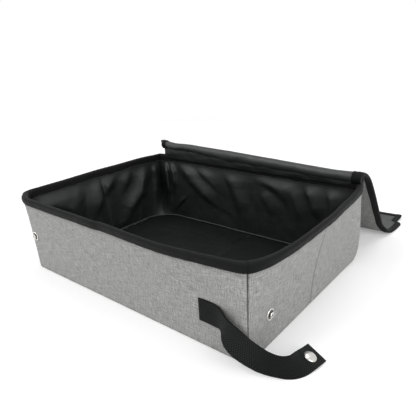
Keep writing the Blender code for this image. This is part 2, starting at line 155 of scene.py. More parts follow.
class Wall:
    """One wall of the box: gives points from share, depth and height."""

    def __init__(self, axis, side, knots, held=()):
        self.axis, self.side, self.knots, self.held = axis, side, knots, held
        self.half_run, self.half_out = HALF_LENGTH, HALF_DEPTH
        if axis == "y":
            self.half_run, self.half_out = HALF_DEPTH, HALF_LENGTH

    def bulge(self, u, z):
        """How far the wall stands out of its plane."""
        run = u * self.half_run
        bulge = through(self.knots, run * 1000) / 1000 * np.clip(z / RIM_Z, 0, OVER_RIM) ** BULGE_POWER
        for place, height, reach in self.held:
            bulge = bulge * (1 - np.exp(-((run - place) ** 2 + (z - height) ** 2) / (2 * reach ** 2)))
        return bulge

    def points(self, u, d, z):
        """Points at the share, depth and height, with the corners' lean and swell."""
        u, d, z = np.broadcast_arrays(u, d, z)
        run = u * (self.half_run - d)
        out = self.side * (self.half_out - d + self.bulge(u, z))
        x, y = (run, out) if self.axis == "x" else (out, run)
        height = np.clip(z / RIM_Z, 0, OVER_RIM)
        lean = near_corner(x, y, LEANING_CORNER, CORNER_REACH) * height ** LEAN_POWER
        level = np.clip(height, 0, 1) / SWELL_LEVEL
        fade = 1 - np.clip(height, 0, 1) ** SWELL_FADE
        swell = near_corner(x, y, FULL_CORNER, SWELL_REACH) * level * np.exp(1 - level) * fade
        return np.stack([x + CORNER_LEAN[0] * lean + CORNER_SWELL * swell, y + CORNER_LEAN[1] * lean, z],
                        axis=-1)

    def across(self, size):
        """A vector of this size across the wall."""
        return (0, size, 0) if self.axis == "x" else (size, 0, 0)


WALLS = {
    "front": Wall("x", -1, FRONT_BULGE_mm, HELD_FLAT["front"]),
    "back": Wall("x", 1, BACK_BULGE_mm),
    "right": Wall("y", 1, RIGHT_BULGE_mm, HELD_FLAT["right"]),
    "left": Wall("y", -1, LEFT_BULGE_mm),
}
# body: wall, first share and last share of the wall's run
PANELS = {
    "front": ("front", -1.0, 1.0),
    "back": ("back", -1.0, 1.0),
    "right_front": ("right", -1.0, 0.0),
    "right_rear": ("right", 0.0, 1.0),
    "left_front": ("left", -1.0, 0.0),
    "left_rear": ("left", 0.0, 1.0),
}


# Materials

# Canvas: its yarns' pitch, its two ways of slubs and how strongly it varies
YARN_PITCH = 0.00085
SLUB_WAYS = ((80, 900, 1), (900, 80, 1))
CANVAS_CONTRAST = 1.35
LINER_PITCH = 0.00055
RIB_PITCH = 0.0006
FLOAT_PITCH = (0.0026, 0.0021)
SCRATCH_WAY = (5200, 420, 900)
# The part of a noise's range that spreads out to the full range
NOISE_RANGE = (0.25, 0.75)


class Graph:
    """Short way to write the nodes of a material or a world."""

    def __init__(self, name, among=bpy.data.materials):
        self.owner = among.new(name)
        self.owner.use_nodes = True
        self.tree = self.owner.node_tree

    def node(self, kind, operation=None, **sockets):
        made = self.tree.nodes.new(kind)
        if operation:
            made.operation = operation
        for key, value in sockets.items():
            self.put(made.inputs[int(key[1:]) if key[1:].isdigit() else key], value)
        return made

    def put(self, socket, value):
        if isinstance(value, bpy.types.NodeSocket):
            self.tree.links.new(value, socket)
        else:
            socket.default_value = value

    def math(self, operation, a, b=0.0, c=0.0):
        return self.node("ShaderNodeMath", operation, i0=a, i1=b, i2=c).outputs[0]

    def times(self, *values):
        product = values[0]
        for value in values[1:]:
            product = self.math("MULTIPLY", product, value)
        return product

    def hump(self, value, pitch, shift=0.0):
        """Rows of rounded humps a pitch apart."""
        turned = self.math("MULTIPLY_ADD", value, math.pi / pitch, shift)
        return self.math("ABSOLUTE", self.math("SINE", turned))

    def uv(self):
        return self.node("ShaderNodeUVMap").outputs[0]

    def split(self, at):
        return self.node("ShaderNodeSeparateXYZ", Vector=at).outputs

    def place(self):
        return self.node("ShaderNodeTexCoord").outputs["Object"]

    def tone(self):
        """The mesh's tone: painted shade and light, and the floor crease's rubbed line; 1 on open cloth."""
        made = self.node("ShaderNodeAttribute")
        made.attribute_name = "tone"
        return made.outputs["Fac"]

    def noise(self, at, scale=1.0, detail=2.0, roughness=0.5, stretch=None):
        if stretch:
            at = self.node("ShaderNodeMapping", Vector=at, Scale=stretch).outputs[0]
        return self.node("ShaderNodeTexNoise", Vector=at, Scale=scale, Detail=detail,
                         Roughness=roughness).outputs["Fac"]

    def spread(self, value, low, high):
        """Maps noise around its middle to the range low to high."""
        first, last = NOISE_RANGE
        return self.node("ShaderNodeMapRange", i0=value, i1=first, i2=last, i3=low, i4=high).outputs[0]

    def shade(self, colour, factor):
        """A colour multiplied by a value."""
        return self.node("ShaderNodeVectorMath", "SCALE", i0=colour, Scale=factor).outputs[0]

    def bump(self, height, strength, distance, **under):
        return self.node("ShaderNodeBump", Strength=strength, Distance=distance, Height=height,
                         **under).outputs[0]

    def finish(self, colour, roughness, normal, **plain):
        """The owner, with its surface made of these."""
        surface = self.tree.nodes["Principled BSDF"].inputs
        self.put(surface["Base Color"], colour)
        self.put(surface["Roughness"], roughness)
        self.put(surface["Normal"], normal)
        for key, value in plain.items():
            surface[key.replace("_", " ")].default_value = value
        return self.owner


def woven(g, at, pitch):
    """Height of a plain weave, 0 to 1, with yarns a pitch apart."""
    across, along = (g.math("SINE", g.times(g.split(at)[k], math.pi / pitch)) for k in (0, 1))
    over = g.math("GREATER_THAN", g.times(across, along), 0.0)
    warp = g.times(over, g.math("ABSOLUTE", across))
    weft = g.times(g.math("SUBTRACT", 1.0, over), g.math("ABSOLUTE", along))
    return g.math("ADD", warp, weft)


def heather_cloth(name, colour):
    """Grey melange canvas: light and dark yarns, slubs both ways and a dry face."""
    g = Graph(name)
    at = g.uv()
    slub_a, slub_b = (g.noise(at, roughness=0.6, stretch=way) for way in SLUB_WAYS)
    fleck = g.noise(at, scale=520.0, roughness=0.7)
    broad = g.noise(at, scale=26.0, detail=3.0, roughness=0.55)
    weave = woven(g, at, YARN_PITCH)
    varied = (g.spread(noise, 1 - part * CANVAS_CONTRAST, 1 + part * CANVAS_CONTRAST)
              for noise, part in ((slub_a, 0.24), (slub_b, 0.26), (fleck, 0.20)))
    yarns = g.times(*varied, g.spread(broad, 0.965, 1.035), g.math("MULTIPLY_ADD", weave, 0.20, 0.88),
                    g.tone())
    normal = g.bump(g.math("ADD", weave, g.times(slub_b, 0.7)), strength=0.42, distance=0.00022)
    return g.finish(g.shade(colour, yarns), g.spread(slub_a, 0.80, 0.93), normal,
                    Sheen_Weight=0.08, Specular_IOR_Level=0.25)


def coated_cloth(name, colour, rough, gloss):
    """Black waterproof liner: fine weave under a soft film, with crinkles."""
    g = Graph(name)
    at = g.uv()
    crinkle, broad = (g.noise(at, scale=scale, detail=3.0) for scale in (70.0, 22.0))
    value = g.times(g.spread(broad, 0.82, 1.2), g.spread(crinkle, 0.9, 1.12), g.tone())
    rubbed = g.math("ADD", g.spread(crinkle, rough - 0.06, rough + 0.06), g.spread(broad, -0.04, 0.05))
    soft = g.bump(crinkle, strength=0.22, distance=0.0006)
    normal = g.bump(woven(g, at, LINER_PITCH), strength=0.16, distance=0.00012, Normal=soft)
    return g.finish(g.shade(colour, value), rubbed, normal, Specular_IOR_Level=gloss)


def tape(name, colour):
    """Folded binding: fine ribs across the tape, a little fuzz and rubbed edges."""
    g = Graph(name)
    at = g.uv()
    ribs = g.hump(g.split(at)[0], RIB_PITCH)
    fuzz = g.noise(at, scale=900.0, roughness=0.6)
    broad = g.noise(at, scale=60.0, detail=3.0)
    value = g.times(g.spread(broad, 0.85, 1.2), g.spread(fuzz, 0.8, 1.25), g.tone())
    normal = g.bump(g.math("ADD", ribs, fuzz), strength=0.3, distance=0.00016)
    return g.finish(g.shade(colour, value), g.spread(broad, 0.60, 0.74), normal,
                    Sheen_Weight=0.01, Specular_IOR_Level=0.12)


def belt_webbing(name, colour):
    """Coarse strap webbing: rows of floats that step sideways from row to row."""
    g = Graph(name)
    at = g.uv()
    along, across = g.split(at)[:2]
    lane = g.math("FLOOR", g.math("DIVIDE", across, FLOAT_PITCH[1]))
    shift = g.times(g.math("MODULO", lane, 2.0), math.pi / 2)
    floats = g.times(g.hump(across, FLOAT_PITCH[1]), g.hump(along, FLOAT_PITCH[0], shift))
    fuzz = g.noise(at, scale=1100.0, roughness=0.6)
    value = g.times(g.math("MULTIPLY_ADD", floats, 4.4, 0.10), g.spread(fuzz, 0.75, 1.3), g.tone())
    normal = g.bump(g.math("ADD", floats, g.times(fuzz, 0.3)), strength=0.7, distance=0.00045)
    return g.finish(g.shade(colour, value), g.spread(fuzz, 0.55, 0.75), normal,
                    Sheen_Weight=0.01, Specular_IOR_Level=0.09)


def thread(name, colour):
    """Sewing thread with a fine twist."""
    g = Graph(name)
    twist = g.noise(g.place(), scale=2600.0, detail=1.0)
    normal = g.bump(twist, strength=0.4, distance=0.0001)
    return g.finish(g.shade(colour, g.spread(twist, 0.75, 1.3)), g.spread(twist, 0.6, 0.8), normal,
                    Specular_IOR_Level=0.15)


def nickel(name, colour):
    """Bright plated steel with faint brushed rings of wear."""
    g = Graph(name)
    at = g.place()
    cloud = g.noise(at, scale=260.0, detail=3.0, roughness=0.6)
    scratch = g.noise(at, roughness=0.6, stretch=SCRATCH_WAY)
    value = g.times(g.spread(cloud, 0.93, 1.05), g.spread(scratch, 0.96, 1.04), g.tone())
    rubbed = g.math("ADD", g.spread(cloud, 0.17, 0.27), g.spread(scratch, -0.02, 0.04))
    return g.finish(g.shade(colour, value), rubbed, g.bump(scratch, strength=0.12, distance=0.00005),
                    Metallic=1.0)


GREY_CLOTH = heather_cloth("grey_melange_canvas", (0.332, 0.333, 0.327))
LINER_CLOTH = coated_cloth("coated_black_liner", (0.0068, 0.0076, 0.0075), rough=0.54, gloss=0.42)
# The floor is the liner's black cloth painted darker, painted shade for the floor inside the box
FLOOR_CLOTH_SHADED = coated_cloth("coated_black_floor_painted_shade", (0.0054, 0.0062, 0.0060), rough=0.62, gloss=0.14)
# The lid's lining is the liner's black cloth painted lighter, a painted sheen for the light it catches on the
# lid and the roll
LID_LINING_SHEEN = coated_cloth("coated_black_lid_lining_painted_sheen", (0.0260, 0.0275, 0.0268), rough=0.46, gloss=0.45)
TAPE = tape("black_binding_tape", (0.0045, 0.0050, 0.0047))
WEBBING = belt_webbing("black_strap_webbing", (0.0050, 0.0056, 0.0053))
DARK_THREAD = thread("black_thread", (0.016, 0.017, 0.016))
PALE_THREAD = thread("overlock_thread", (0.075, 0.078, 0.074))
SEAM_TAPE = tape("liner_seam_tape", (0.056, 0.060, 0.056))
NICKEL = nickel("nickel_plate", (0.62, 0.61, 0.58))


# Mesh helpers

# Running stitches: length, gap and radius
TAPE_STITCH = (0.0022, 0.0009, 0.00022)
PATCH_STITCH = (0.0024, 0.0007, 0.00025)
STRAP_STITCH = (0.0024, 0.0007, 0.00022)
STITCH_SIDES = 5
STITCH_SHARES = (0.0, 0.12, 0.5, 0.88, 1.0)
STITCH_SIZES = (0.45, 0.9, 1.0, 0.9, 0.45)
# A direction that no seam runs along, and how far up a tube may head before its sides are set another way
ASKEW = (0.31, 0.27, 0.91)
STEEP = 0.92
# Turned pieces: steps round them, radius that sets their UV, and what counts as one point
TURN_STEPS = 48
TURN_UV = 0.004
WELD_REACH = 1e-6
SHEET_THICK = 0.0007


def linked(name, mesh, look):
    """The mesh as a smooth piece in the scene."""
    mesh.polygons.foreach_set("use_smooth", [True] * len(mesh.polygons))
    mesh.materials.append(look)
    piece = bpy.data.objects.new(name, mesh)
    bpy.context.scene.collection.objects.link(piece)
    return piece


def woven_mesh(name, points, run, around, look, wrap=True, cap=True, weld=False, tone=1.0):
    """A mesh of quads over a grid of points (rows, columns, 3), with its UV in metres.

    run and around are the UV's places of the rows and columns. wrap joins the last
    column to the first, around then has one place more, and cap closes the first and
    last row. tone is the mesh's painted shade and light, for all points or for each row or column.
    """
    rows, cols = points.shape[:2]
    faces, coords = [], []
    for i in range(rows - 1):
        for j in range(cols if wrap else cols - 1):
            k = (j + 1) % cols
            faces.append((i * cols + j, (i + 1) * cols + j, (i + 1) * cols + k, i * cols + k))
            coords += [(run[a], around[b]) for a, b in ((i, j), (i + 1, j), (i + 1, j + 1), (i, j + 1))]
    if wrap and cap:
        for i, order in ((0, range(cols)), (rows - 1, range(cols - 1, -1, -1))):
            faces.append(tuple(i * cols + j for j in order))
            coords += [(run[i], around[j]) for j in order]
    mesh = bpy.data.meshes.new(name)
    mesh.from_pydata(points.reshape(-1, 3).tolist(), [], faces)
    mesh.uv_layers.new(name="UVMap").data.foreach_set("uv", np.array(coords, np.float32).ravel())
    tones = np.broadcast_to(np.asarray(tone, np.float32), (rows, cols)).ravel()
    mesh.attributes.new("tone", "FLOAT", "POINT").data.foreach_set("value", tones)
    turn = bmesh.new()
    turn.from_mesh(mesh)
    if weld:
        bmesh.ops.remove_doubles(turn, verts=turn.verts, dist=WELD_REACH)
    bmesh.ops.recalc_face_normals(turn, faces=turn.faces)
    turn.to_mesh(mesh)
    turn.free()
    return linked(name, mesh, look)


def thickened(piece):
    """Gives a sheet the cloth's thickness."""
    solid = piece.modifiers.new("cloth", "SOLIDIFY")
    solid.thickness = SHEET_THICK
    solid.offset = 0.0
    depsgraph = bpy.context.evaluated_depsgraph_get()
    mesh = bpy.data.meshes.new_from_object(
        piece.evaluated_get(depsgraph), preserve_all_data_layers=True, depsgraph=depsgraph)
    piece.modifiers.clear()
    piece.data = mesh


def joined(name, pieces):
    """Several meshes as one piece, each with its own materials."""
    bpy.ops.object.select_all(action="DESELECT")
    for piece in pieces:
        piece.select_set(True)
    bpy.context.view_layer.objects.active = pieces[0]
    bpy.ops.object.join()
    pieces[0].name = name
    pieces[0].data.name = name
    return pieces[0]


def tube(name, path, radius, look, sides, close=False):
    """A round thread or cord along a path."""
    ahead = np.roll(path, -1, axis=0) - np.roll(path, 1, axis=0)
    if not close:
        ahead[0], ahead[-1] = path[1] - path[0], path[-1] - path[-2]
    ahead /= np.linalg.norm(ahead, axis=1)[:, None]
    up = np.tile((0.0, 0.0, 1.0), (len(path), 1))
    up[np.abs(ahead[:, 2]) > STEEP] = (1.0, 0.0, 0.0)
    side = np.cross(ahead, up)
    side /= np.linalg.norm(side, axis=1)[:, None]
    up = np.cross(side, ahead)
    turn = np.linspace(0, 2 * math.pi, sides, endpoint=False)[None, :, None]
    ring = path[:, None] + radius * (np.cos(turn) * side[:, None] + np.sin(turn) * up[:, None])
    if close:
        ring = np.concatenate([ring, ring[:1]])
    around = np.linspace(0, 2 * math.pi * radius, sides + 1)
    return woven_mesh(name, ring, run_along(ring[:, 0]), around, look, cap=not close)


def stitches(line, stitch):
    """A row of short running stitches that follow a line of points."""
    length, gap, radius = stitch
    run = run_along(line)
    turn = np.linspace(0, 2 * math.pi, STITCH_SIDES, endpoint=False)[:, None]
    sides = range(STITCH_SIDES)
    rings, faces = [], []
    start = gap
    while start + length < run[-1]:
        spine = read_along(line, run, start + length * np.array(STITCH_SHARES))
        ahead = spine[-1] - spine[0]
        ahead /= np.linalg.norm(ahead)
        side = np.cross(ahead, ASKEW)
        side /= np.linalg.norm(side)
        up = np.cross(side, ahead)
        for i, (point, size) in enumerate(zip(spine, STITCH_SIZES)):
            low = (len(rings) - 1) * STITCH_SIDES
            rings.append(point + radius * size * (np.cos(turn) * side + np.sin(turn) * up))
            if i:
                high = low + STITCH_SIDES
                faces += [(low + j, low + (j + 1) % STITCH_SIDES, high + (j + 1) % STITCH_SIDES, high + j)
                          for j in sides]
        last = (len(rings) - 1) * STITCH_SIDES
        first = last - (len(STITCH_SIZES) - 1) * STITCH_SIDES
        faces += [tuple(first + j for j in reversed(sides)), tuple(last + j for j in sides)]
        start += length + gap
    mesh = bpy.data.meshes.new("stitches")
    mesh.from_pydata(np.concatenate(rings).tolist(), [], faces)
    return linked("stitches", mesh, DARK_THREAD)


def turned(name, profile_mm, base, place, facing, tone=1.0):
    """A round metal piece: radius and height pairs turned about the facing direction."""
    angle = np.linspace(0, 2 * math.pi, TURN_STEPS + 1)
    profile = np.array(profile_mm) / 1000 + (0, base)
    rings = np.stack(np.broadcast_arrays(profile[None, :, 0] * np.cos(angle)[:, None],
                                         profile[None, :, 0] * np.sin(angle)[:, None],
                                         profile[None, :, 1]), axis=-1)
    piece = woven_mesh(name, rings, angle * TURN_UV, run_along(profile), NICKEL, wrap=False, weld=True,
                       tone=tone)
    turn = Vector((0, 0, 1)).rotation_difference(Vector(facing)).to_matrix().to_4x4()
    piece.data.transform(Matrix.Translation(Vector(place)) @ turn)
    return piece


def dress(piece, slot, *replaced):
    """Hides the CAD nodes that the piece stands for; piece and slot are not used."""
    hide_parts(*replaced)


# Walls

# Places of a panel's first columns of points from its end, and each layer's pitch of the others
END_STEPS_mm = (0, 0.35, 0.8, 1.4, 2.2, 3.2, 4.6)
SHELL_STEP = 0.0045
BAND_STEP = 0.0036
LINER_STEP = 0.0026
# Depth under a wall's outer face, from which hangs() works out a plane that nothing reads
SQUASH_DEPTH = 0.003
# Seeds of the panels' noise: each layer's first, and the step from panel to panel
SHELL_SEED, BAND_SEED, LINER_SEED, SEED_STEP = 11, 61, 131, 7


def stations(wall, first, last, pitch):
    """Shares along a panel, closer together at both of its ends."""
    half = WALLS[wall].half_run
    ends = np.array(END_STEPS_mm) / 1000 / half
    inner = np.linspace(first + ends[-1], last - ends[-1], max(3, int((last - first) * half / pitch)))
    return np.concatenate([first + ends[:-1], inner, (last - ends[:-1])[::-1]])


def end_distance(wall, u, first, last):
    """Metres to the nearest end of the panel, and whether that end is a crease."""
    half = WALLS[wall].half_run
    low, high = (u - first) * half, (last - u) * half
    near_crease = np.where(low < high, abs(first) < 0.5, abs(last) < 0.5)
    return np.minimum(low, high), near_crease


def hangs(piece, body, slot, *replaced):
    """The cloth rides on its panel's body, with a mesh of its own."""
    wall = WALLS[PANELS[body][0]]
    plane = wall.across(wall.side * (wall.half_out - SQUASH_DEPTH))
    wall.across(1)
    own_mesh(piece)
    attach(piece, body)
    dress(piece, slot, *replaced)


# The outer cloth's outline, depth and height: turned in at the foot, up the face, over the board
SHELL_mm = ((3.7, 3.0), (3.2, 0.9), (2.3, 0.2), (1.6, 0.1), (0.8, 0.5), (0.2, 1.7), (0, 4.5),
            *((0, z) for z in np.linspace(10, 106, 18)), (0, 112.5), (0, 116.5), (0, 118.8),
            (0.4, 119.8), (1.2, 120.3), (3.1, 120.3), (3.7, 119.6), (3.7, 80.0), (3.7, 40.0))
SHELL_UV_BACK = 0.037
# Each pair is for a crease and for a corner
GROOVE_DEEP = (0.0007, 0.0010)
GROOVE_REACH = (0.0026, 0.0015)
# The seam tone is painted shade in the crease and in the corner seam, with its reach and where it starts
SHELL_SEAM_TONE = (0.74, 0.16)
SHELL_SEAM_REACH = (0.0032, 0.0009)
SHELL_SEAM_START = 0.0002
# Tone of the painted shade at the foot and under the binding, each with its height and reach
FOOT_TONE, FOOT_REACH = 0.86, 0.004
SHADED_TONE, SHADED_Z, SHADED_REACH = 0.80, 0.1125, 0.004
# Soft unevenness of the stiffened cloth: layers for ripples, and where it starts
SHELL_DENTS = ((1.3, 0.085, 0.00042), (1.0, 0.022, 0.00012))
DENT_DEPTH = 0.002
DENT_FROM_END = 0.006
DENT_FROM_FOOT = 0.02


def build_shell(body, seed):
    """Grey outer cloth of one panel, over its board."""
    wall, first, last = PANELS[body]
    u = stations(wall, first, last, SHELL_STEP)
    d, z = np.array(SHELL_mm).T / 1000
    run = u * WALLS[wall].half_run
    distance, crease = end_distance(wall, u, first, last)
    groove = np.where(crease, *GROOVE_DEEP) * (1 - smooth(distance / np.where(crease, *GROOVE_REACH)))
    outer = np.clip(1 - d / DENT_DEPTH, 0, 1)
    uneven = ripples(run[:, None], z[None, :], seed, SHELL_DENTS) * smooth(distance / DENT_FROM_END)[:, None]
    uneven *= outer[None] * smooth(z / DENT_FROM_FOOT)[None]
    points = WALLS[wall].points(u[:, None], d[None] + groove[:, None] * outer[None] - uneven, z[None])
    around = run_along(np.column_stack([d, z]))
    # Painted shade: darker in the crease, the corner seam, at the foot and under the binding
    seam = eased(np.where(crease, *SHELL_SEAM_TONE), distance - SHELL_SEAM_START,
                 np.where(crease, *SHELL_SEAM_REACH))
    tone = eased(FOOT_TONE, z, FOOT_REACH) * eased(SHADED_TONE, SHADED_Z - z, SHADED_REACH)
    piece = woven_mesh(body + "_outer_cloth", points, run, np.append(around, around[-1] + SHELL_UV_BACK),
                       GREY_CLOTH, tone=seam[:, None] * tone[None])
    boards = [n for n in nodes if n.startswith(body + "_board")]
    hangs(piece, body, "outer_fabric", body + "_cover", *boards)


# The binding's outline over the rim: depth, and height over the rim
BAND_mm = ((-0.75, -10.4), (-1.0, -9.9), (-1.05, -8.6), (-1.1, -6.0), (-1.05, -3.2), (-0.7, -1.4),
           (0.1, -0.25), (1.3, 0.42), (2.6, 0.6), (3.9, 0.42), (5.1, -0.25), (5.9, -1.4), (6.2, -3.2),
           (6.25, -6.0), (6.2, -8.8), (6.1, -10.9), (5.75, -11.4), (5.3, -11.1), (4.9, -9.8), (4.6, -2.6),
           (2.6, -1.5), (0.6, -2.6), (0.3, -9.2), (-0.25, -10.3))
BAND_UV_GAP = 0.001
# The binding is inside the wall past this depth, puffs out below this height and wanders lower down
BAND_INSIDE = 0.0045
PUFF_BELOW = -0.001
PUFF_STRETCH, PUFF_SIZE, PUFF_HEIGHT = 2.0, 0.018, 0.00022
WANDER_PLACE, WANDER_SIZE, WANDER_HEIGHT = 0.3, 0.055, 0.0007
WANDER_REACH = 0.010
# Small rise and fall of the rim along the wall, and how far it keeps from the corners
RISE_SIZE, RISE_HEIGHT, RISE_REACH = 0.11, 0.00055, 0.02
# Each pair is for a crease and for a corner
PINCH_DEEP = (0.0005, 0.0002)
PINCH_REACH = 0.003
# The seam tone is painted shade on the tape at a crease and at a corner, with its reach
BAND_SEAM_TONE = (0.8, 0.55)
BAND_SEAM_REACH = 0.0015
# Rows of stitches and the overlocked edge: depth, and how far under the rim
BAND_STITCHES = ((-0.00105, 0.0086), (0.0063, 0.0088))
STITCH_END_SHARE = 0.003
STITCH_POINTS = 400
OVERLOCK_PLACE = (0.0064, 0.0112)
OVERLOCK_END_SHARE = 0.004
OVERLOCK_PITCH, OVERLOCK_SWAY, OVERLOCK_RADIUS = 0.0013, 0.0007, 0.00024


def build_band(body, seed):
    """Black tape folded over the rim, with its two rows of stitches."""
    wall, first, last = PANELS[body]
    half = WALLS[wall].half_run

    def rise(u):
        edge = smooth((1 - np.abs(u)) * half / RISE_REACH)
        return ripple(u * half, np.full_like(u, seed), seed, RISE_SIZE) * RISE_HEIGHT * edge

    def wander(u):
        return ripple(u * half, np.full_like(u, WANDER_PLACE), seed + 5, WANDER_SIZE) * WANDER_HEIGHT

    u = stations(wall, first, last, BAND_STEP)
    d, z = np.array(BAND_mm).T / 1000
    run = u * half
    inner = d > BAND_INSIDE
    puff = ripple(run[:, None], z[None] * PUFF_STRETCH, seed + 3, PUFF_SIZE) * PUFF_HEIGHT
    distance, crease = end_distance(wall, u, first, last)
    pinch = (1 - smooth(distance / PINCH_REACH))[:, None] * np.where(crease, *PINCH_DEEP)[:, None]
    deep = d[None] + np.where(inner, -1, 1) * (pinch - puff * (z < PUFF_BELOW))
    lower = np.clip(-z / WANDER_REACH, 0, 1) * inner
    high = RIM_Z + z[None] + rise(u)[:, None] - wander(u)[:, None] * lower
    points = WALLS[wall].points(u[:, None], deep, high)
    around = run_along(np.column_stack([d, z]))
    # Painted shade on the tape next to a crease and a corner
    seam = eased(np.where(crease, *BAND_SEAM_TONE), distance, BAND_SEAM_REACH)
    rows = [woven_mesh(body + "_tape", points, run, np.append(around, around[-1] + BAND_UV_GAP), TAPE,
                       tone=seam[:, None])]
    fine = np.linspace(first + STITCH_END_SHARE, last - STITCH_END_SHARE, STITCH_POINTS)
    rows += [stitches(WALLS[wall].points(fine, depth, RIM_Z - drop + rise(fine)), TAPE_STITCH)
             for depth, drop in BAND_STITCHES]
    turns = int((last - first) * half / OVERLOCK_PITCH)
    zig = np.linspace(first + OVERLOCK_END_SHARE, last - OVERLOCK_END_SHARE, turns)
    sway = np.where(np.arange(turns) % 2, OVERLOCK_SWAY, -OVERLOCK_SWAY)
    depth, drop = OVERLOCK_PLACE
    edge = WALLS[wall].points(zig, depth, RIM_Z - drop + sway - wander(zig) + rise(zig))
    rows.append(tube("overlock", edge, OVERLOCK_RADIUS, PALE_THREAD, sides=5))
    hangs(joined(body + "_rim_binding", rows), body, "binding", body + "_binding")


# Folds of the liner: the places that a fold runs through, along the wall and up, then its width
# and its height
LINER_FOLDS_mm = {
    "back": ((((-150, 122), (-134, 104), (-114, 82), (-88, 64), (-44, 40)), 13, 7.4),
             (((-116, 112), (-92, 100), (-66, 84), (-40, 60)), 12, 3.6),
             (((-36, 106), (-16, 84), (-4, 58), (4, 34)), 11, 3.8),
             (((22, 112), (52, 104), (80, 92), (104, 70)), 15, 4.6),
             (((40, 84), (58, 62), (66, 44)), 10, 2.8), (((96, 104), (110, 74), (122, 44)), 9, 3.4),
             (((124, 112), (140, 84), (152, 56)), 11, 4.6), (((160, 116), (172, 84), (178, 36)), 10, 4.0),
             (((-186, 120), (-181, 80), (-178, 34)), 6, 8.0), (((-172, 118), (-165, 92), (-160, 56)), 6, 6.5),
             (((-130, 50), (-150, 32), (-168, 12)), 3, 3.2), (((21, 118), (20, 60), (20, 6)), 1.2, 0.9)),
    "left": ((((-134, 96), (-104, 92), (-74, 76), (-52, 52)), 17, 4.8),
             (((34, 112), (14, 96), (-14, 74), (-40, 46)), 14, 5.8),
             (((104, 116), (100, 88), (88, 62), (58, 40), (40, 18)), 11, 7.4),
             (((66, 112), (58, 92), (48, 78)), 9, 2.6), (((-46, 112), (-58, 92), (-70, 78)), 9, 2.4),
             (((128, 116), (132, 76), (128, 30)), 7, 4.0)),
    "right": ((((-112, 112), (-96, 88), (-80, 58), (-68, 30)), 13, 5.0),
              (((-30, 112), (-40, 84), (-52, 56)), 12, 4.2), (((38, 110), (26, 84), (12, 54)), 13, 4.8),
              (((68, 114), (82, 80), (96, 46), (100, 22)), 10, 4.8),
              (((122, 116), (120, 80), (116, 40)), 8, 4.2)),
    "front": ((((-156, 114), (-136, 82), (-112, 54), (-92, 34)), 13, 5.2),
              (((-70, 110), (-56, 84), (-42, 58)), 13, 4.4), (((-4, 108), (-14, 80), (-24, 50)), 12, 4.0),
              (((38, 112), (52, 84), (70, 56), (90, 32)), 12, 4.8),
              (((114, 110), (108, 84), (102, 56)), 11, 4.4), (((150, 114), (158, 80), (162, 42)), 10, 4.6),
              (((21, 118), (20, 60), (20, 6)), 1.2, 0.9)),
}
# A fold is broader above its ridge and steeper below, fades at its ends, and adds to its neighbours
FOLD_BROAD, FOLD_STEEP = 0.75, 0.5
FOLD_START, FOLD_START_SHARE = 0.2, 0.3
FOLD_END, FOLD_END_SHARE = 0.25, 0.35
FOLD_ADDS = 0.22
# Where the liner meets the floor: its sides, the rounding of its rear left corner, and how high
# the liner leans away from its wall to get there
FLOOR_SEAM = {"left": -0.1955, "right": 0.1900, "front": -0.1340, "back": 0.1365}
SEAM_CORNER = 0.054
LINER_LEAN_Z, LINER_LEAN_POWER = 0.052, 1.7
# Floor height, how far the liner tucks under it, the liner's top and its depth under its wall
FLOOR_Z = 0.0052
LINER_TUCK = 0.002
LINER_TOP = RIM_Z - 0.0068
LINER_DEPTH = 0.0050
# The liner stands off its wall by a base, folds and layers of ripples, and never in by more than the last
LINER_LOOSE = 0.0009
LINER_RIPPLES = ((0.6, 0.026, 0.00042), (1.0, 0.012, 0.00012), (0.35, 0.055, 0.0010))
LINER_INWARD = -0.0006
# It is held at the floor, under the binding and at its ends; pairs are for a crease and for a corner
LINER_FOOT_REACH = 0.014
LINER_HELD, LINER_HELD_DROP, LINER_HELD_REACH = 0.04, 0.0112, 0.018
LINER_ENDS = (0.35, 0.0)
LINER_END_REACH = (0.010, 0.007)
# The seam tone and the shade are painted shade: at a crease and at a corner, and under the binding
LINER_SEAM_TONE = (0.8, 0.6)
LINER_SEAM_REACH = (0.0016, 0.003)
LINER_SHADE, LINER_SHADE_DROP, LINER_SHADE_REACH = 0.75, 0.0115, 0.006


def fold_height(wall, run, z):
    """How far the liner's folds stand off its wall."""
    total = np.zeros(np.broadcast(run, z).shape)
    for places, width, height in LINER_FOLDS_mm[wall]:
        knots = np.array(places) / 1000
        starts = run_along(knots)
        best, form = np.full(total.shape, np.inf), np.zeros(total.shape)
        for start, end, before, span in zip(knots[:-1], knots[1:], starts, np.diff(starts)):
            way = (end - start) / span
            up = np.array((-way[1], way[0])) * (1 if way[0] >= 0 else -1)
            t = np.clip((run - start[0]) * way[0] + (z - start[1]) * way[1], 0, span)
            off_run, off_z = run - start[0] - t * way[0], z - start[1] - t * way[1]
            above = off_run * up[0] + off_z * up[1] > 0
            wide = width / 1000 * np.where(above, 1 + FOLD_BROAD * up[1], 1 - FOLD_STEEP * up[1])
            far = np.hypot(off_run, off_z) / wide
            share = (before + t) / starts[-1]
            ends = eased(FOLD_START, share, FOLD_START_SHARE) * eased(FOLD_END, 1 - share, FOLD_END_SHARE)
            form = np.where(far < best, ends * np.exp(-far ** 2), form)
            best = np.minimum(best, far)
        total = np.maximum(total, height / 1000 * form) + FOLD_ADDS * height / 1000 * form
    return total


def seam_place(x, y):
    """The nearest place on the floor seam, whose rear left corner is well rounded."""
    low, high = (FLOOR_SEAM["left"], FLOOR_SEAM["front"]), (FLOOR_SEAM["right"], FLOOR_SEAM["back"])
    centre = (low[0] + SEAM_CORNER, high[1] - SEAM_CORNER)
    scale = SEAM_CORNER / (np.hypot(x - centre[0], y - centre[1]) + 1e-9)
    rounded = (x < centre[0]) & (y > centre[1])
    return tuple(np.where(rounded, centre[k] + (at - centre[k]) * scale, np.clip(at, low[k], high[k]))
                 for k, at in enumerate((x, y)))


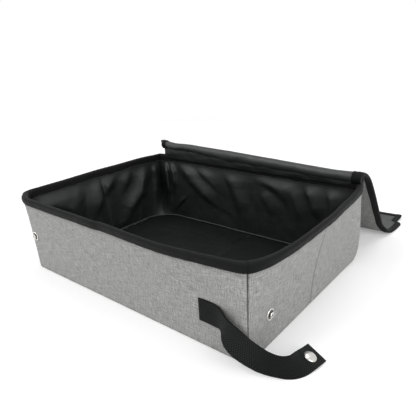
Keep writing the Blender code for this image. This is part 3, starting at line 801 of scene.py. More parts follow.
def build_liner(body, seed):
    """Loose black liner inside one panel, held under the tape and at the floor seam."""
    wall, first, last = PANELS[body]
    u = stations(wall, first, last, LINER_STEP)
    z = np.concatenate([np.linspace(FLOOR_Z - LINER_TUCK, 0.012, 6), np.linspace(0.0145, LINER_TOP, 44)])
    run = u * WALLS[wall].half_run
    held = smooth((z - FLOOR_Z) / LINER_FOOT_REACH) * eased(LINER_HELD, RIM_Z - LINER_HELD_DROP - z,
                                                            LINER_HELD_REACH)
    distance, crease = end_distance(wall, u, first, last)
    ends = eased(np.where(crease, *LINER_ENDS), distance, np.where(crease, *LINER_END_REACH))
    off = fold_height(wall, run[:, None], z[None]) + LINER_LOOSE
    off = off + ripples(run[:, None], z[None], seed, LINER_RIPPLES)
    deep = LINER_DEPTH + np.maximum(held[None] * ends[:, None] * off, LINER_INWARD)
    points = WALLS[wall].points(u[:, None], deep, z[None])
    lean = np.clip(1 - z / LINER_LEAN_Z, 0, 1)[None] ** LINER_LEAN_POWER
    for k, to in enumerate(seam_place(points[..., 0], points[..., 1])):
        points[..., k] += (to - points[..., k]) * lean
    # Painted shade at the liner's ends and under the binding
    seam = eased(np.where(crease, *LINER_SEAM_TONE), distance, np.where(crease, *LINER_SEAM_REACH))
    shade = eased(LINER_SHADE, RIM_Z - LINER_SHADE_DROP - z, LINER_SHADE_REACH)
    piece = woven_mesh(body + "_lining", points, run, z, LINER_CLOTH, wrap=False,
                       tone=seam[:, None] * shade[None])
    thickened(piece)
    hangs(piece, body, "liner", body + "_liner")


for place, body in enumerate(PANELS):
    build_shell(body, SHELL_SEED + SEED_STEP * place)
    build_band(body, BAND_SEED + SEED_STEP * place)
    build_liner(body, LINER_SEED + SEED_STEP * place)


# Floor

FLOOR_HALF_X = 0.1940
FLOOR_HALF_Y = 0.1370
FLOOR_UNDER = 0.0015
FLOOR_STEPS = (120, 84, 12)
FLOOR_EDGE_STEPS = (0.0006, 0.0016)
FLOOR_UV_GAP = 0.01
# Heights and reaches: the padding's crown, its rounded edge and the two grooves of the middle crease
FLOOR_CROWN = (0.0016, 0.05)
FLOOR_EDGE = (0.0022, 0.006)
CREASE_GROOVES = ((0.0021, 0.0022), (0.0010, 0.012))
# The crease: its place, its sway and waves, where it starts from the edge, and its rubbed line
FLOOR_CREASE_X = 0.0200
CREASE_SWAY, CREASE_WAVES = 0.0012, 38
CREASE_START, CREASE_START_REACH = 0.004, 0.010
CREASE_RUBBED, CREASE_RUBBED_REACH = 1.1, 0.0016
FLOOR_SEED = 401
FLOOR_RIPPLES = ((1.0, 0.09, 0.0006), (1.0, 0.028, 0.00022))
FLOOR_CALM_REACH = 0.02
# The welted seam round the floor
SEAM_RADIUS = 0.0012
SEAM_INSET = 0.0034
SEAM_LIFT = 0.0016
SEAM_ROUND = 0.012
SEAM_POINTS = 520
SEAM_WAVE_SEED, SEAM_WAVE_SIZE, SEAM_WAVE_HEIGHT = 411, 0.06, 0.0004
# The base fabric's cross-section: share of its half depth, and height
BASE_SECTION = ((-1, 0.0007), (-0.998, 0.00025), (-0.993, 0.0001), (0.993, 0.0001), (0.998, 0.00025),
                (1, 0.0007), (0.996, 0.0012), (-0.996, 0.0012))
BASE_UV_TOP = (0.28, 0.55, 0.56)
BASE_INSET = 0.0002


def floor_height(x, y):
    """Top of the padded floor: two soft halves with a crease between them."""
    to_side = np.minimum(FLOOR_HALF_X - np.abs(x), FLOOR_HALF_Y - np.abs(y))
    crown = FLOOR_CROWN[0] * smooth(to_side / FLOOR_CROWN[1])
    crown -= FLOOR_EDGE[0] * (1 - smooth(to_side / FLOOR_EDGE[1]))
    fold = np.abs(x - FLOOR_CREASE_X - CREASE_SWAY * np.sin(y * CREASE_WAVES))
    groove = sum(deep * np.exp(-(fold / reach) ** 2) for deep, reach in CREASE_GROOVES)
    crown -= groove * smooth((to_side - CREASE_START) / CREASE_START_REACH)
    calm = smooth(to_side / FLOOR_CALM_REACH)
    return FLOOR_Z + crown + calm * ripples(x, y, FLOOR_SEED, FLOOR_RIPPLES)


def crumples(piece):
    """The floor piece rides on the back wall's body, with a mesh of its own."""
    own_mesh(piece)
    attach(piece, "back")


def surface(x, y, z):
    """Points over a grid of x and y."""
    return np.stack(np.broadcast_arrays(x[:, None], y[None], z), axis=-1)


def build_floor_pad():
    """The padded floor liner, with its middle crease."""
    near_edge = np.array(FLOOR_EDGE_STEPS)
    x, y = (np.unique(np.concatenate([np.linspace(-half, half, count), near_edge - half, half - near_edge]))
            for half, count in zip((FLOOR_HALF_X, FLOOR_HALF_Y), FLOOR_STEPS))
    x = np.union1d(x, FLOOR_CREASE_X + np.linspace(-0.008, 0.008, 15))
    under_y = np.linspace(FLOOR_HALF_Y, -FLOOR_HALF_Y, FLOOR_STEPS[2])
    points = np.concatenate([surface(x, y, floor_height(x[:, None], y[None])),
                             surface(x, under_y, FLOOR_UNDER)], axis=1)
    around = np.concatenate([y, 2 * FLOOR_HALF_Y - under_y + FLOOR_UV_GAP,
                             [3 * FLOOR_HALF_Y + 2 * FLOOR_UV_GAP]])
    fold = np.abs(x - FLOOR_CREASE_X)[:, None]
    piece = woven_mesh("floor_pad_lined", points, x, around, FLOOR_CLOTH_SHADED,
                       tone=1 + CREASE_RUBBED * np.exp(-(fold / CREASE_RUBBED_REACH) ** 2))
    crumples(piece)
    dress(piece, "liner", "floor_pad_left", "floor_pad_right", "floor_liner")


def build_floor_seam():
    """The welted seam where the walls' liners meet the floor."""
    low = np.array((FLOOR_SEAM["left"], FLOOR_SEAM["front"])) + SEAM_INSET
    high = np.array((FLOOR_SEAM["right"], FLOOR_SEAM["back"])) - SEAM_INSET
    # Each corner: its place, the ways inward, its radius, and where its arc starts in half turns
    corners = ((high, (-1, -1), SEAM_ROUND, 0.0), ((low[0], high[1]), (1, -1), SEAM_CORNER, 0.5),
               (low, (1, 1), SEAM_ROUND, 1.0), ((high[0], low[1]), (-1, 1), SEAM_ROUND, 1.5))
    arcs = []
    for corner, inward, radius, start in corners:
        turn = np.linspace(start, start + 0.5, 26)[:, None] * math.pi
        arcs.append(np.array(corner) + np.array(inward) * radius
                    + radius * np.hstack([np.cos(turn), np.sin(turn)]))
    edge = np.vstack([*arcs, arcs[0][:1]])
    run = run_along(edge)
    edge = read_along(edge, run, np.linspace(0, run[-1], SEAM_POINTS, endpoint=False))
    wave = ripple(*edge.T, SEAM_WAVE_SEED, SEAM_WAVE_SIZE) * SEAM_WAVE_HEIGHT
    path = np.column_stack([edge, FLOOR_Z + SEAM_LIFT + wave])
    seam = tube("floor_seam_welt", path, SEAM_RADIUS, SEAM_TAPE, sides=8, close=True)
    crumples(seam)


def build_base():
    """The grey base fabric under the pads."""
    half = np.array([FLOOR_HALF_X, FLOOR_HALF_Y]) - BASE_INSET
    v, z = np.array(BASE_SECTION).T
    x = np.linspace(-1, 1, 60) * half[0]
    around = np.concatenate([v[:6] * half[1], BASE_UV_TOP])
    base = woven_mesh("base_cloth", surface(x, v * half[1], z), x, around, GREY_CLOTH)
    crumples(base)
    dress(base, "outer_fabric", "base_cover")


# Lid

# Rolled hinge: its axis, radius and half width, its ends, and how it rises, slims and is dented
ROLL_Y = 0.1405
ROLL_Z = 0.1314
ROLL_RADIUS = 0.008
ROLL_TUBE = 0.0062
ROLL_HEIGHT = 0.0088
ROLL_ENDS = (-0.1780, 0.2010)
ROLL_LIFT_LEFT = 0.0100
ROLL_DROP_RIGHT = 0.0046
ROLL_SLIM_LEFT = 0.0024
ROLL_LIFT_POWER = 1.15
# Along x: where the drop starts and how long it grows, where it eases, and where the roll slims
DROP_START, DROP_LENGTH = -0.02, 0.22
DROP_EASED, DROP_EASE_START, DROP_EASE_REACH = 0.55, 0.150, 0.045
SLIM_START, SLIM_REACH = -0.030, 0.085
# Beside the left band: place, reach and depth
ROLL_DENT = (-0.150, 0.018, 0.0016)
# Hinge cloth under the roll
HINGE_LOW_Z = 0.1165
HINGE_CLOTH = 0.0014
HINGE_BACK, HINGE_BOW = 0.0024, 0.0012
HINGE_STEPS = 12
# Lid: its thickness and half its length along x
LID_THICK = 0.0038
LID_HALF = 0.193
# Lined face of the lid in y and z: over the roll, bowed down to the ground, then the flap
LID_LINE_mm = ((138.5, 139.6), (146.0, 139.2), (160.0, 133.8), (175.0, 123.2), (191.0, 104.4), (209.0, 81.4),
               (227.0, 55.6), (243.6, 31.6), (252.0, 19.6), (261.0, 10.0), (272.0, 5.0), (285.0, 3.7),
               (308.0, 3.8), (334.0, 4.2), (351.0, 5.0))
LID_LINE_ROUNDS, LID_LINE_CUT = 5, 0.125
LID_BEND_Y = (0.250, 0.292)
LID_FLARE_Y = (0.247, 0.317)
# How far the lid lies to the right, at the roll and at its end, and how far the flap flares out there
LID_SHIFT = (0.0080, 0.0160)
FLAP_FLARE = 0.0090
FLARE_RISE, FLARE_FALL = 0.022, 0.0055
FLARE_FIRST, FLARE_SECOND_START, FLARE_SECOND_RISE = 0.55, 0.01, 0.045
FLARE_SIDE, FLARE_SIDE_REACH = 0.030, 0.019
# The main panel sags in its middle and towards its left, and the flap's ends curl up
PANEL_SAG, PANEL_SAG_LEFT = 0.0030, 0.0040
FLAP_CURL, CURL_REACH, CURL_POWER = 0.0016, 0.06, 3
LID_WAVE_SEED, LID_WAVE_SIZE, LID_WAVE_HEIGHT = 501, 0.13, 0.0008
# The wave fades over this share at both ends, and the roll's lift over this length
LID_WAVE_FADE, LID_LIFT_FADE = 0.1, 0.055
LID_WAVE_END = 1.05
LID_GROUND = 0.0002


def roll_drop(x):
    """The roll flattens towards its right, and less at its very end."""
    grown = np.clip((x - DROP_START) / DROP_LENGTH, 0, 1) ** ROLL_LIFT_POWER
    return ROLL_DROP_RIGHT * grown * (1 - DROP_EASED * smooth((x - DROP_EASE_START) / DROP_EASE_REACH))


def roll_lift(x):
    """The roll's top stands higher at its left end, with a dent beside the band."""
    share = (ROLL_ENDS[1] - x) / (ROLL_ENDS[1] - ROLL_ENDS[0])
    place, reach, depth = ROLL_DENT
    dent = depth * np.exp(-((x - place) / reach) ** 2)
    return ROLL_LIFT_LEFT * np.clip(share, 0, 1) ** ROLL_LIFT_POWER - roll_drop(x) - dent


def roll_half(x):
    """Half the height of the roll: it is slimmer at its left end and flatter at its right."""
    return ROLL_HEIGHT - ROLL_SLIM_LEFT * smooth((SLIM_START - x) / SLIM_REACH) - roll_drop(x) / 2


def roll_middle(x):
    """Height of the roll's middle line."""
    return ROLL_Z + ROLL_RADIUS + roll_lift(x) - roll_half(x)


def lid_line():
    """The lid's line as points, their run in metres, and the way up from the lined face."""
    line = np.array(LID_LINE_mm) / 1000
    for _ in range(LID_LINE_ROUNDS):
        full = np.empty((len(line) * 2 - 1, 2))
        full[::2], full[1::2] = line, (line[:-1] + line[1:]) / 2
        full[2:-2:2] = (1 - 2 * LID_LINE_CUT) * line[1:-1] + LID_LINE_CUT * (line[:-2] + line[2:])
        line = full
    run = run_along(line)
    way = np.gradient(line, run, axis=0)
    return line, run, np.stack([-way[:, 1], way[:, 0]], axis=-1) / np.linalg.norm(way, axis=1)[:, None]


LID_LINE, LID_LINE_RUN, LID_LINE_UP = lid_line()
LID_RUN = float(LID_LINE_RUN[-1])
LID_BEND, FLARE_RUN = (tuple(float(np.interp(y, LID_LINE[:, 0], LID_LINE_RUN)) for y in places)
                       for places in (LID_BEND_Y, LID_FLARE_Y))


def lid_path(s):
    """Point of the lined face and the way up from it, s metres from the roll."""
    point, up = (read_along(line, LID_LINE_RUN, s) for line in (LID_LINE, LID_LINE_UP))
    return point, up / np.linalg.norm(up, axis=-1)[..., None]


def lid_points(x, s, under):
    """Points of the lid at x, at s metres from the roll and a depth under its lined face."""
    x, s, under = np.broadcast_arrays(x, s, under)
    at, up = lid_path(s)
    share = s / LID_RUN
    panel = np.sin(np.pi * np.clip(s / LID_BEND[0], 0, 1))
    sink = PANEL_SAG * (1 - (x / LID_HALF) ** 2) + PANEL_SAG_LEFT * smooth(0.5 - x / (2 * LID_HALF))
    curl = smooth((s - LID_BEND[1]) / CURL_REACH) * FLAP_CURL * np.abs(x / LID_HALF) ** CURL_POWER
    fade = smooth(share / LID_WAVE_FADE) * smooth((LID_WAVE_END - share) / LID_WAVE_FADE)
    wave = ripple(x, s, LID_WAVE_SEED, LID_WAVE_SIZE) * LID_WAVE_HEIGHT * fade
    lift = roll_lift(x + LID_SHIFT[0]) * (1 - smooth(s / LID_LIFT_FADE))
    off = curl + wave + lift - under - sink * panel
    past = s - FLARE_RUN[0]
    flare = smooth(past / FLARE_RISE) * eased(FLARE_FIRST, past - FLARE_SECOND_START, FLARE_SECOND_RISE)
    flare = FLAP_FLARE * flare * (1 - smooth((s - FLARE_RUN[1]) / FLARE_FALL))
    flare = flare * smooth((x - LID_HALF + FLARE_SIDE) / FLARE_SIDE_REACH)
    shift = LID_SHIFT[0] + (LID_SHIFT[1] - LID_SHIFT[0]) * smooth(share) + flare
    return np.stack([x + shift, at[..., 0] + up[..., 0] * off,
                     np.maximum(at[..., 1] + up[..., 1] * off, LID_GROUND)], axis=-1)


def bends(piece, slot, *replaced):
    """Lid cloth that crosses the crease between the main panel and the flap."""
    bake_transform(piece)
    dress(piece, slot, *replaced)


def presses(piece, slot, *replaced):
    """The bowed main panel rides on the lid's body, with a mesh of its own."""
    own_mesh(piece)
    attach(piece, "lid")
    dress(piece, slot, *replaced)


# The lid's layers: grey cloth and lining, how far they keep from its sides and how round their edges are
LID_GREY = (LID_THICK - 0.0013, LID_THICK)
LID_LINED = (0.0, LID_THICK - 0.0014)
SLAB_HALF = LID_HALF - 0.0026
SLAB_COLUMNS = 66
SLAB_ROUND = 0.7
SLAB_UV_GAP = 0.02
# Painted shade along the crease: how much it darkens, and its reach
LID_CREASE_SHADE, LID_CREASE_REACH = 0.25, 0.004
# The binding's outline at the lid's edge: inward from the edge, and depth under the lined face
LID_BAND_mm = ((9.2, -0.25), (8.9, -0.55), (6.0, -0.75), (2.5, -0.75), (0.8, -0.45), (0.0, 0.6), (-0.25, 1.9),
               (0.0, 3.2), (0.8, 4.25), (2.5, 4.55), (6.0, 4.5), (8.9, 4.3), (9.2, 4.0), (8.9, 3.7),
               (2.6, 3.6), (1.6, 1.9), (2.6, 0.2), (8.9, 0.1))
LID_BAND_UV_GAP = 0.0006
LID_BAND_STEP = 0.0018
LID_WANDER_SEED, LID_WANDER_SIZE, LID_WANDER_HEIGHT, LID_WANDER_INWARD = 601, 0.05, 0.0004, 0.006
# Stitches of the bindings: inward from the edge, and depths of both rows at the sides and at the end
LID_STITCH_INWARD = 0.0076
SIDE_STITCH_DEPTHS = (-0.00085, 0.0046)
END_STITCH_DEPTHS = (-0.00105, 0.0048)
# The end's binding is a little fuller than the sides', and its stitches stop short of them
END_BAND_SIDE, END_BAND_OUT, END_BAND_FULL, END_BAND_LIFT = 0.0004, 0.0002, 1.06, 0.0001
END_STITCH_SIDE = 0.011


def lid_slab(name, look, s, low, high):
    """A layer of the lid between two depths, with rounded side edges."""
    middle, side = (low + high) / 2, SLAB_HALF + (high - low) / 2 * SLAB_ROUND
    x = np.linspace(-SLAB_HALF, SLAB_HALF, SLAB_COLUMNS)
    loop_x = np.concatenate([x, [side], x[::-1], [-side]])
    depth = np.concatenate([np.full(SLAB_COLUMNS, low), [middle], np.full(SLAB_COLUMNS, high), [middle]])
    around = np.concatenate([x, [SLAB_HALF], 2 * SLAB_HALF - x[::-1] + SLAB_UV_GAP,
                             [3 * SLAB_HALF + SLAB_UV_GAP] * 2])
    # Painted shade along the crease between the panel and the flap
    crease = 1 - LID_CREASE_SHADE * np.exp(-((s - sum(LID_BEND) / 2) / LID_CREASE_REACH) ** 2)
    return woven_mesh(name, lid_points(loop_x[None], s[:, None], depth[None]), s, around, look,
                      tone=crease[:, None])


def build_lid():
    """The lid's two panels in their layers, and the bindings of their edges."""
    panel = np.concatenate([np.linspace(0.0005, LID_BEND[0] - 0.002, 64), [LID_BEND[0]]])
    flap = np.concatenate([np.linspace(*LID_BEND, 22),
                           np.linspace(LID_BEND[1] + 0.002, LID_RUN - 0.0016, 24)])
    for body, s, fit in (("lid", panel, presses), ("flap", flap, bends)):
        fit(lid_slab(body + "_outer_cloth", GREY_CLOTH, s, *LID_GREY), "outer_fabric", body + "_cover",
            body + "_board")
        fit(lid_slab(body + "_lining", LID_LINING_SHEEN, s, *LID_LINED), "liner", body + "_liner")
    inward, depth = np.array(LID_BAND_mm).T / 1000
    around = run_along(np.column_stack([inward, depth]))
    around = np.append(around, around[-1] + LID_BAND_UV_GAP)
    for name, side in (("right", 1), ("left", -1)):
        for body, start, end, fit in (("lid", 0.001, LID_BEND[0], presses),
                                      ("flap", LID_BEND[0], LID_RUN, bends)):
            edge = np.linspace(start, end, round((end - start) / LID_BAND_STEP))
            wander = ripple(edge, edge * 0, LID_WANDER_SEED, LID_WANDER_SIZE)[:, None] * LID_WANDER_HEIGHT
            wander = wander * (inward > LID_WANDER_INWARD)
            points = lid_points(side * (LID_HALF - inward + wander), edge[:, None], depth)
            fine = np.linspace(start + 0.003, min(end, LID_RUN - 0.012), 300)
            rows = [stitches(lid_points(side * (LID_HALF - LID_STITCH_INWARD), fine, under), TAPE_STITCH)
                    for under in SIDE_STITCH_DEPTHS]
            band = woven_mesh("lid_side_tape", points, edge, around, TAPE)
            fit(joined(body + "_binding_tape_" + name, [band, *rows]), "binding", body + "_binding_" + name)
    x = np.linspace(-LID_HALF + END_BAND_SIDE, LID_HALF - END_BAND_SIDE, 120)
    points = lid_points(x[:, None], LID_RUN + END_BAND_OUT - inward, depth * END_BAND_FULL - END_BAND_LIFT)
    fine = np.linspace(-LID_HALF + END_STITCH_SIDE, LID_HALF - END_STITCH_SIDE, 500)
    rows = [stitches(lid_points(fine, LID_RUN - LID_STITCH_INWARD, under), TAPE_STITCH)
            for under in END_STITCH_DEPTHS]
    piece = joined("flap_end_binding", [woven_mesh("flap_end_tape", points, x, around, TAPE), *rows])
    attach(piece, "flap")
    dress(piece, "binding", "flap_binding_end")


# The roll's points: their sides round it and their columns, which keep from its ends
ROLL_SIDES = 40
ROLL_COLUMNS = 190
ROLL_END_GAP = 0.003
# Unevenness of the roll: metres for each turn, seed, size and height, the second running on slantwise
ROLL_SQUEEZE = (0.012, 701, 0.045, 0.00035)
ROLL_SLANT = (0.010, 702, 0.020, 0.00015)
# Bands at the roll's ends: their width, and their outline from the inner edge, then back from the
# outer edge, with its height over the roll
BAND_WIDTH = {"right": 0.0140, "left": 0.0085}
BAND_START = ((0.0, 0.0004), (0.0002, 0.0012), (0.0010, 0.0017), (0.0022, 0.0014))
BAND_END = ((0.0022, 0.0014), (0.0010, 0.0017), (0.0002, 0.0012), (0.0, 0.0004), (0.0003, -0.0030),
            (0.0010, -0.0054))
BAND_GIRTH = 1.2
# The hinge cloth's wave: stretch, seed, size and height, then its UV's length and gap
HINGE_WAVE = (2.0, 711, 0.03, 0.0007)
HINGE_UV, HINGE_UV_GAP = 0.024, 0.006


def roll_ring(x, grow, turn):
    """Points round the roll at x, grown out of it."""
    per_turn, seed, size, height = ROLL_SQUEEZE
    out = grow + ripple(x, turn * per_turn, seed, size) * height
    per_turn, seed, size, height = ROLL_SLANT
    out = out + ripple(x, turn * per_turn + x, seed, size) * height
    return np.stack(np.broadcast_arrays(x, ROLL_Y + (ROLL_TUBE + out) * np.cos(turn),
                                        roll_middle(x) + (roll_half(x) + out) * np.sin(turn)), axis=-1)


def rolls(piece, slot, replaced):
    """The roll rides on the lid's body, with a mesh of its own."""
    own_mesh(piece)
    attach(piece, "lid")
    dress(piece, slot, replaced)


def build_hinge(x):
    """The cloth between the back binding and the roll."""
    level = np.linspace(0, 1, HINGE_STEPS)
    bow = np.sin(level * math.pi)
    z = HINGE_LOW_Z + (roll_middle(x)[:, None] - HINGE_LOW_Z) * level
    stretch, seed, size, height = HINGE_WAVE
    y = ROLL_Y - HINGE_BACK + (ripple(x[:, None], z * stretch, seed, size) * height - HINGE_BOW) * bow
    front = np.stack(np.broadcast_arrays(x[:, None], y, z), axis=-1)
    rear = front[:, ::-1] + (0, HINGE_CLOTH, 0)
    around = np.concatenate([level * HINGE_UV, (1 + level) * HINGE_UV + HINGE_UV_GAP,
                             [2 * (HINGE_UV + HINGE_UV_GAP)]])
    hinge = woven_mesh("lid_hinge_cloth", np.concatenate([front, rear], axis=1), x, around, LINER_CLOTH)
    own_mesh(hinge)
    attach(hinge, "back")


def build_roll():
    """The rolled hinge, the cloth under it and the band round each of its ends."""
    turn = np.linspace(0, 2 * math.pi, ROLL_SIDES, endpoint=False)[None]
    x = np.linspace(ROLL_ENDS[0] + ROLL_END_GAP, ROLL_ENDS[1] - ROLL_END_GAP, ROLL_COLUMNS)
    girth = np.linspace(0, math.pi * (ROLL_TUBE + ROLL_HEIGHT), ROLL_SIDES + 1)
    rolls(woven_mesh("lid_hinge_roll", roll_ring(x[:, None], 0.0, turn), x, girth, LID_LINING_SHEEN), "liner",
          "lid_roll")
    build_hinge(x)
    for name, side in (("right", 1), ("left", -1)):
        wide = BAND_WIDTH[name]
        offset, grow = np.array([*BAND_START, *((wide - back, over) for back, over in BAND_END)]).T
        at = side * (abs(ROLL_ENDS[side > 0]) - wide + offset)
        band = woven_mesh("roll_band_tape_" + name, roll_ring(at[:, None], grow[:, None], turn), offset,
                          girth * BAND_GIRTH, TAPE)
        rolls(band, "binding", "lid_roll_band_" + name)


build_floor_pad()
build_floor_seam()
build_base()
build_lid()
build_roll()


# Strap and snaps

STRAP_WIDTH = 0.0260
STRAP_THICK = 0.0018
STRAP_STEP = 0.0016
STRAP_END_LENGTH = 0.0210
PATCH_LENGTH = 0.0248
GROUND_GAP = 0.0003
# The folded end is thicker from here on: by how much, how far before the fold, and its reach
STRAP_HEM, HEM_BEFORE, HEM_REACH = 0.0007, 0.001, 0.0012
# The patch is wider than the strap: by what share, from how far before its end, and its reach
PATCH_WIDER, PATCH_BEFORE, PATCH_REACH = 0.14, 0.004, 0.022
# Cross-section: columns, the edges' inset and thickness, and thickness of both ends' cuts
STRAP_COLUMNS = 15
EDGE_INSET, EDGE_THIN = 0.0005, 0.35
CUT_SEWN, CUT_FREE = 0.7, 0.6
STRAP_UV_GAP = 0.002
# Tone along the strap: painted shade on the patch and its lower part, painted light on its paler stretches
STRAP_LIGHT_AND_SHADE_shares = ((0.0, 0.75), (0.14, 0.80), (0.24, 1.15), (0.45, 1.15), (0.60, 0.60), (0.80, 0.60),
                     (0.90, 1.20), (1.0, 1.35))
STRAP_ROOT = np.array([0.1615, -0.1442, 0.0515])
STRAP_REACH = np.array([0.0905, 0.0530, -0.0420])
# Shares of the reach along x, y and down, then how the webbing leans along x and y
STRAP_ROUTE_shares = ((-0.045, 0, 0, 0, 0), (0.048, -0.030, 0.018, 0.11, 0),
                      (0.168, -0.128, 0.132, -0.10, 0.06), (0.373, -0.188, 0.449, 0.488, 0.587),
                      (0.700, -0.021, 0.824, 0.372, 0.358), (0.868, 0.169, 0.910, -0.059, 0.080),
                      (0.928, 0.352, 0.975, -0.577, 0.155), (0.952, 0.690, 1.048, -0.839, -0.392))
STRAP_END_WAY = (0.109, 0.985, -0.131)
ROUTE_STEPS, END_STEPS = 14, 16
SEWN_GAP = 0.0052
# The route is softened between these distances from its ends, first all of it, then its later part
SOFT_FROM_ROOT, SOFT_FROM_END = PATCH_LENGTH - 0.012, 0.010
SOFT_ROUNDS, SOFT_ROUNDS_ALL, SOFT_LATER = 60, 14, 0.55
# Where along x the strap turns out of the front wall
CAP_FROM_END = 0.0134
# Stitches of the patch: a box and its diagonals between four corners; and rows across the folded end
STITCH_INSET, STITCH_LIFT = 0.0032, 0.0001
BOX_AND_CROSS = ((0, 1), (1, 2), (2, 3), (3, 0), (0, 2), (1, 3))
HEM_ROWS = (-15, -2)
HEM_STITCH_INSET = 0.003
LINE_POINTS = 12


def strap_sections():
    """Middles, up directions and headings of the webbing from its sewn end to its cut end."""
    route = np.array(STRAP_ROUTE_shares)
    end_way = np.array(STRAP_END_WAY) / np.linalg.norm(STRAP_END_WAY)
    middle = STRAP_ROOT + route[:, :3] * STRAP_REACH
    middle = np.vstack([2 * middle[0] - middle[1], middle, middle[-1] + end_way * STRAP_END_LENGTH])
    knots = np.hstack([middle, np.vstack([route[0, 3:], route[:, 3:], route[-1, 3:]])])
    t = np.linspace(0, 1, ROUTE_STEPS, endpoint=False)[:, None]
    line = [0.5 * (2 * b + (c - a) * t + (2 * a - 5 * b + 4 * c - d) * t ** 2
                   + (3 * b - a - 3 * c + d) * t ** 3)
            for a, b, c, d in zip(knots[:-3], knots[1:-2], knots[2:-1], knots[3:])]
    line.append(knots[-2] + (knots[-1] - knots[-2]) * np.linspace(0, 1, END_STEPS)[:, None])
    start = np.zeros((END_STEPS, 5))
    start[:, :3] = STRAP_ROOT
    start[:, 0] += np.linspace(-PATCH_LENGTH, -SEWN_GAP, END_STEPS)
    line = np.vstack([start, *line])
    run = run_along(line[:, :3])
    even = np.linspace(0, run[-1], round(run[-1] / STRAP_STEP) + 1)
    line = read_along(line, run, even)
    free = (even > SOFT_FROM_ROOT) & (even < even[-1] - SOFT_FROM_END)
    for k in range(SOFT_ROUNDS):
        calm = line.copy()
        calm[1:-1] = 0.5 * line[1:-1] + 0.25 * (line[:-2] + line[2:])
        soft = free if k < SOFT_ROUNDS_ALL else free & (even > SOFT_LATER * even[-1])
        line = np.where(soft[:, None], calm, line)
    middle = line[:, :3]
    heading = np.gradient(middle, axis=0)
    heading /= np.linalg.norm(heading, axis=1)[:, None]
    up = np.column_stack([line[:, 3:], np.sqrt(1 - (line[:, 3:] ** 2).sum(axis=1))])
    up -= (up * heading).sum(axis=1)[:, None] * heading
    up /= np.linalg.norm(up, axis=1)[:, None]
    return middle, up, heading


def build_strap():
    """The webbing with its sewn patch and folded end, and the snap's cap and socket."""
    middle, up, heading = strap_sections()
    out = np.cross(heading, up)
    run = run_along(middle)
    half, thick = STRAP_WIDTH / 2, STRAP_THICK / 2
    inner = half - EDGE_INSET
    across = np.concatenate([[-half], np.linspace(-inner, inner, STRAP_COLUMNS), [half]])
    edge = np.concatenate([[EDGE_THIN], np.ones(STRAP_COLUMNS), [EDGE_THIN]])
    hem = STRAP_HEM * smooth((run - run[-1] + STRAP_END_LENGTH + HEM_BEFORE) / HEM_REACH)[:, None]
    thin = np.full((len(run), 1), thick)
    thin[0], thin[-1] = thick * CUT_SEWN, thick * CUT_FREE
    offset = np.concatenate([edge * (thin + hem), -edge * thin], axis=1)
    wider = PATCH_WIDER * (1 - smooth((run - PATCH_LENGTH + PATCH_BEFORE) / PATCH_REACH))[:, None]
    height = np.concatenate([across, across[::-1]]) * (1 + wider) - half * wider
    points = middle[:, None] + height[..., None] * up[:, None] + offset[..., None] * out[:, None]
    points[..., 2] = np.maximum(points[..., 2], GROUND_GAP)
    around = np.concatenate([across, STRAP_WIDTH + STRAP_UV_GAP - across[::-1], [STRAP_WIDTH * 2]])
    # The strap's painted shade and light
    painted_light = np.interp(run / run[-1], *zip(*STRAP_LIGHT_AND_SHADE_shares))
    rows = [woven_mesh("strap", points, run, around, WEBBING, tone=painted_light[:, None])]
    high = half - STITCH_INSET
    corners = np.array([(x, 0, z) for x, z in ((STITCH_INSET - PATCH_LENGTH, high), (-STITCH_INSET, high),
                                               (-STITCH_INSET, -high), (STITCH_INSET - PATCH_LENGTH, -high))])
    corners += STRAP_ROOT - (0, thick + STITCH_LIFT, 0)
    share = np.linspace(0, 1, LINE_POINTS)[:, None]
    rows += [stitches((1 - share) * corners[a] + share * corners[b], PATCH_STITCH) for a, b in BOX_AND_CROSS]
    wide = (half - HEM_STITCH_INSET) * (2 * share - 1)
    rows += [stitches(middle[k] + wide * up[k] + (thick + STRAP_HEM) * out[k], STRAP_STITCH)
             for k in HEM_ROWS]
    piece = joined("strap_webbing_ribbon", rows)
    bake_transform(piece)
    dress(piece, "webbing", "strap_webbing", "strap_patch")

    facing = out[-3]
    seat = middle[-1] - heading[-1] * CAP_FROM_END
    cap = turned("snap_cap_dome", CAP_mm, thick + STRAP_HEM, seat, facing)
    socket = turned("snap_socket_ring", SOCKET_mm, thick, seat, -facing)
    for piece, node in ((cap, "snap_cap"), (socket, "snap_socket")):
        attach(piece, "strap")
        dress(piece, "snap_metal", node)


# Outlines of the snaps: radius, and height over the cloth
CAP_mm = ((0.0, -0.6), (6.9, -0.6), (7.15, -0.25), (7.2, 0.15), (7.05, 0.55), (6.6, 0.95), (6.0, 1.3),
          (4.8, 1.8), (3.4, 2.2), (1.8, 2.45), (0.8, 2.52), (0.0, 2.55))
SOCKET_mm = ((0.0, 0.2), (2.9, 0.2), (3.0, 2.6), (3.25, 3.05), (3.7, 3.2), (4.2, 3.0), (4.5, 2.4), (4.7, 1.4),
             (5.0, 1.0), (5.6, 0.85), (5.95, 0.6), (6.0, 0.1), (5.9, -0.3), (0.0, -0.3))
STUD_mm = ((0.0, -2.4), (2.0, -2.4), (2.0, -0.1), (6.7, -0.1), (7.0, 0.3), (7.05, 0.95), (6.85, 1.5),
           (6.35, 1.75), (5.8, 1.55), (5.5, 1.0), (4.8, 0.7), (3.5, 0.7), (2.9, 0.9), (2.75, 1.3), (2.9, 1.9),
           (3.3, 2.5), (3.45, 3.1), (3.2, 3.6), (2.5, 3.9), (1.6, 3.85), (1.0, 3.4), (0.5, 3.15), (0.0, 3.1))
# Painted shade darkens the stud's hollow, and painted highlights brighten its rolled rim and post
STUD_SHADE_AND_HIGHLIGHT = (0.3, 0.3, 0.3, 0.9, 1.2, 1.35, 1.4, 1.35, 0.9, 0.4, 0.16, 0.12, 0.16, 0.25, 0.5, 0.8, 1.1, 1.3,
             1.2, 0.8, 0.3, 0.14, 0.1)
# CAD node, body and place
STUDS = {"right": ("right_snap_stud", "right_front", (0.2000, -0.1015, 0.0430)),
         "left": ("left_snap_stud", "front", (-0.1905, -0.1430, 0.0570))}


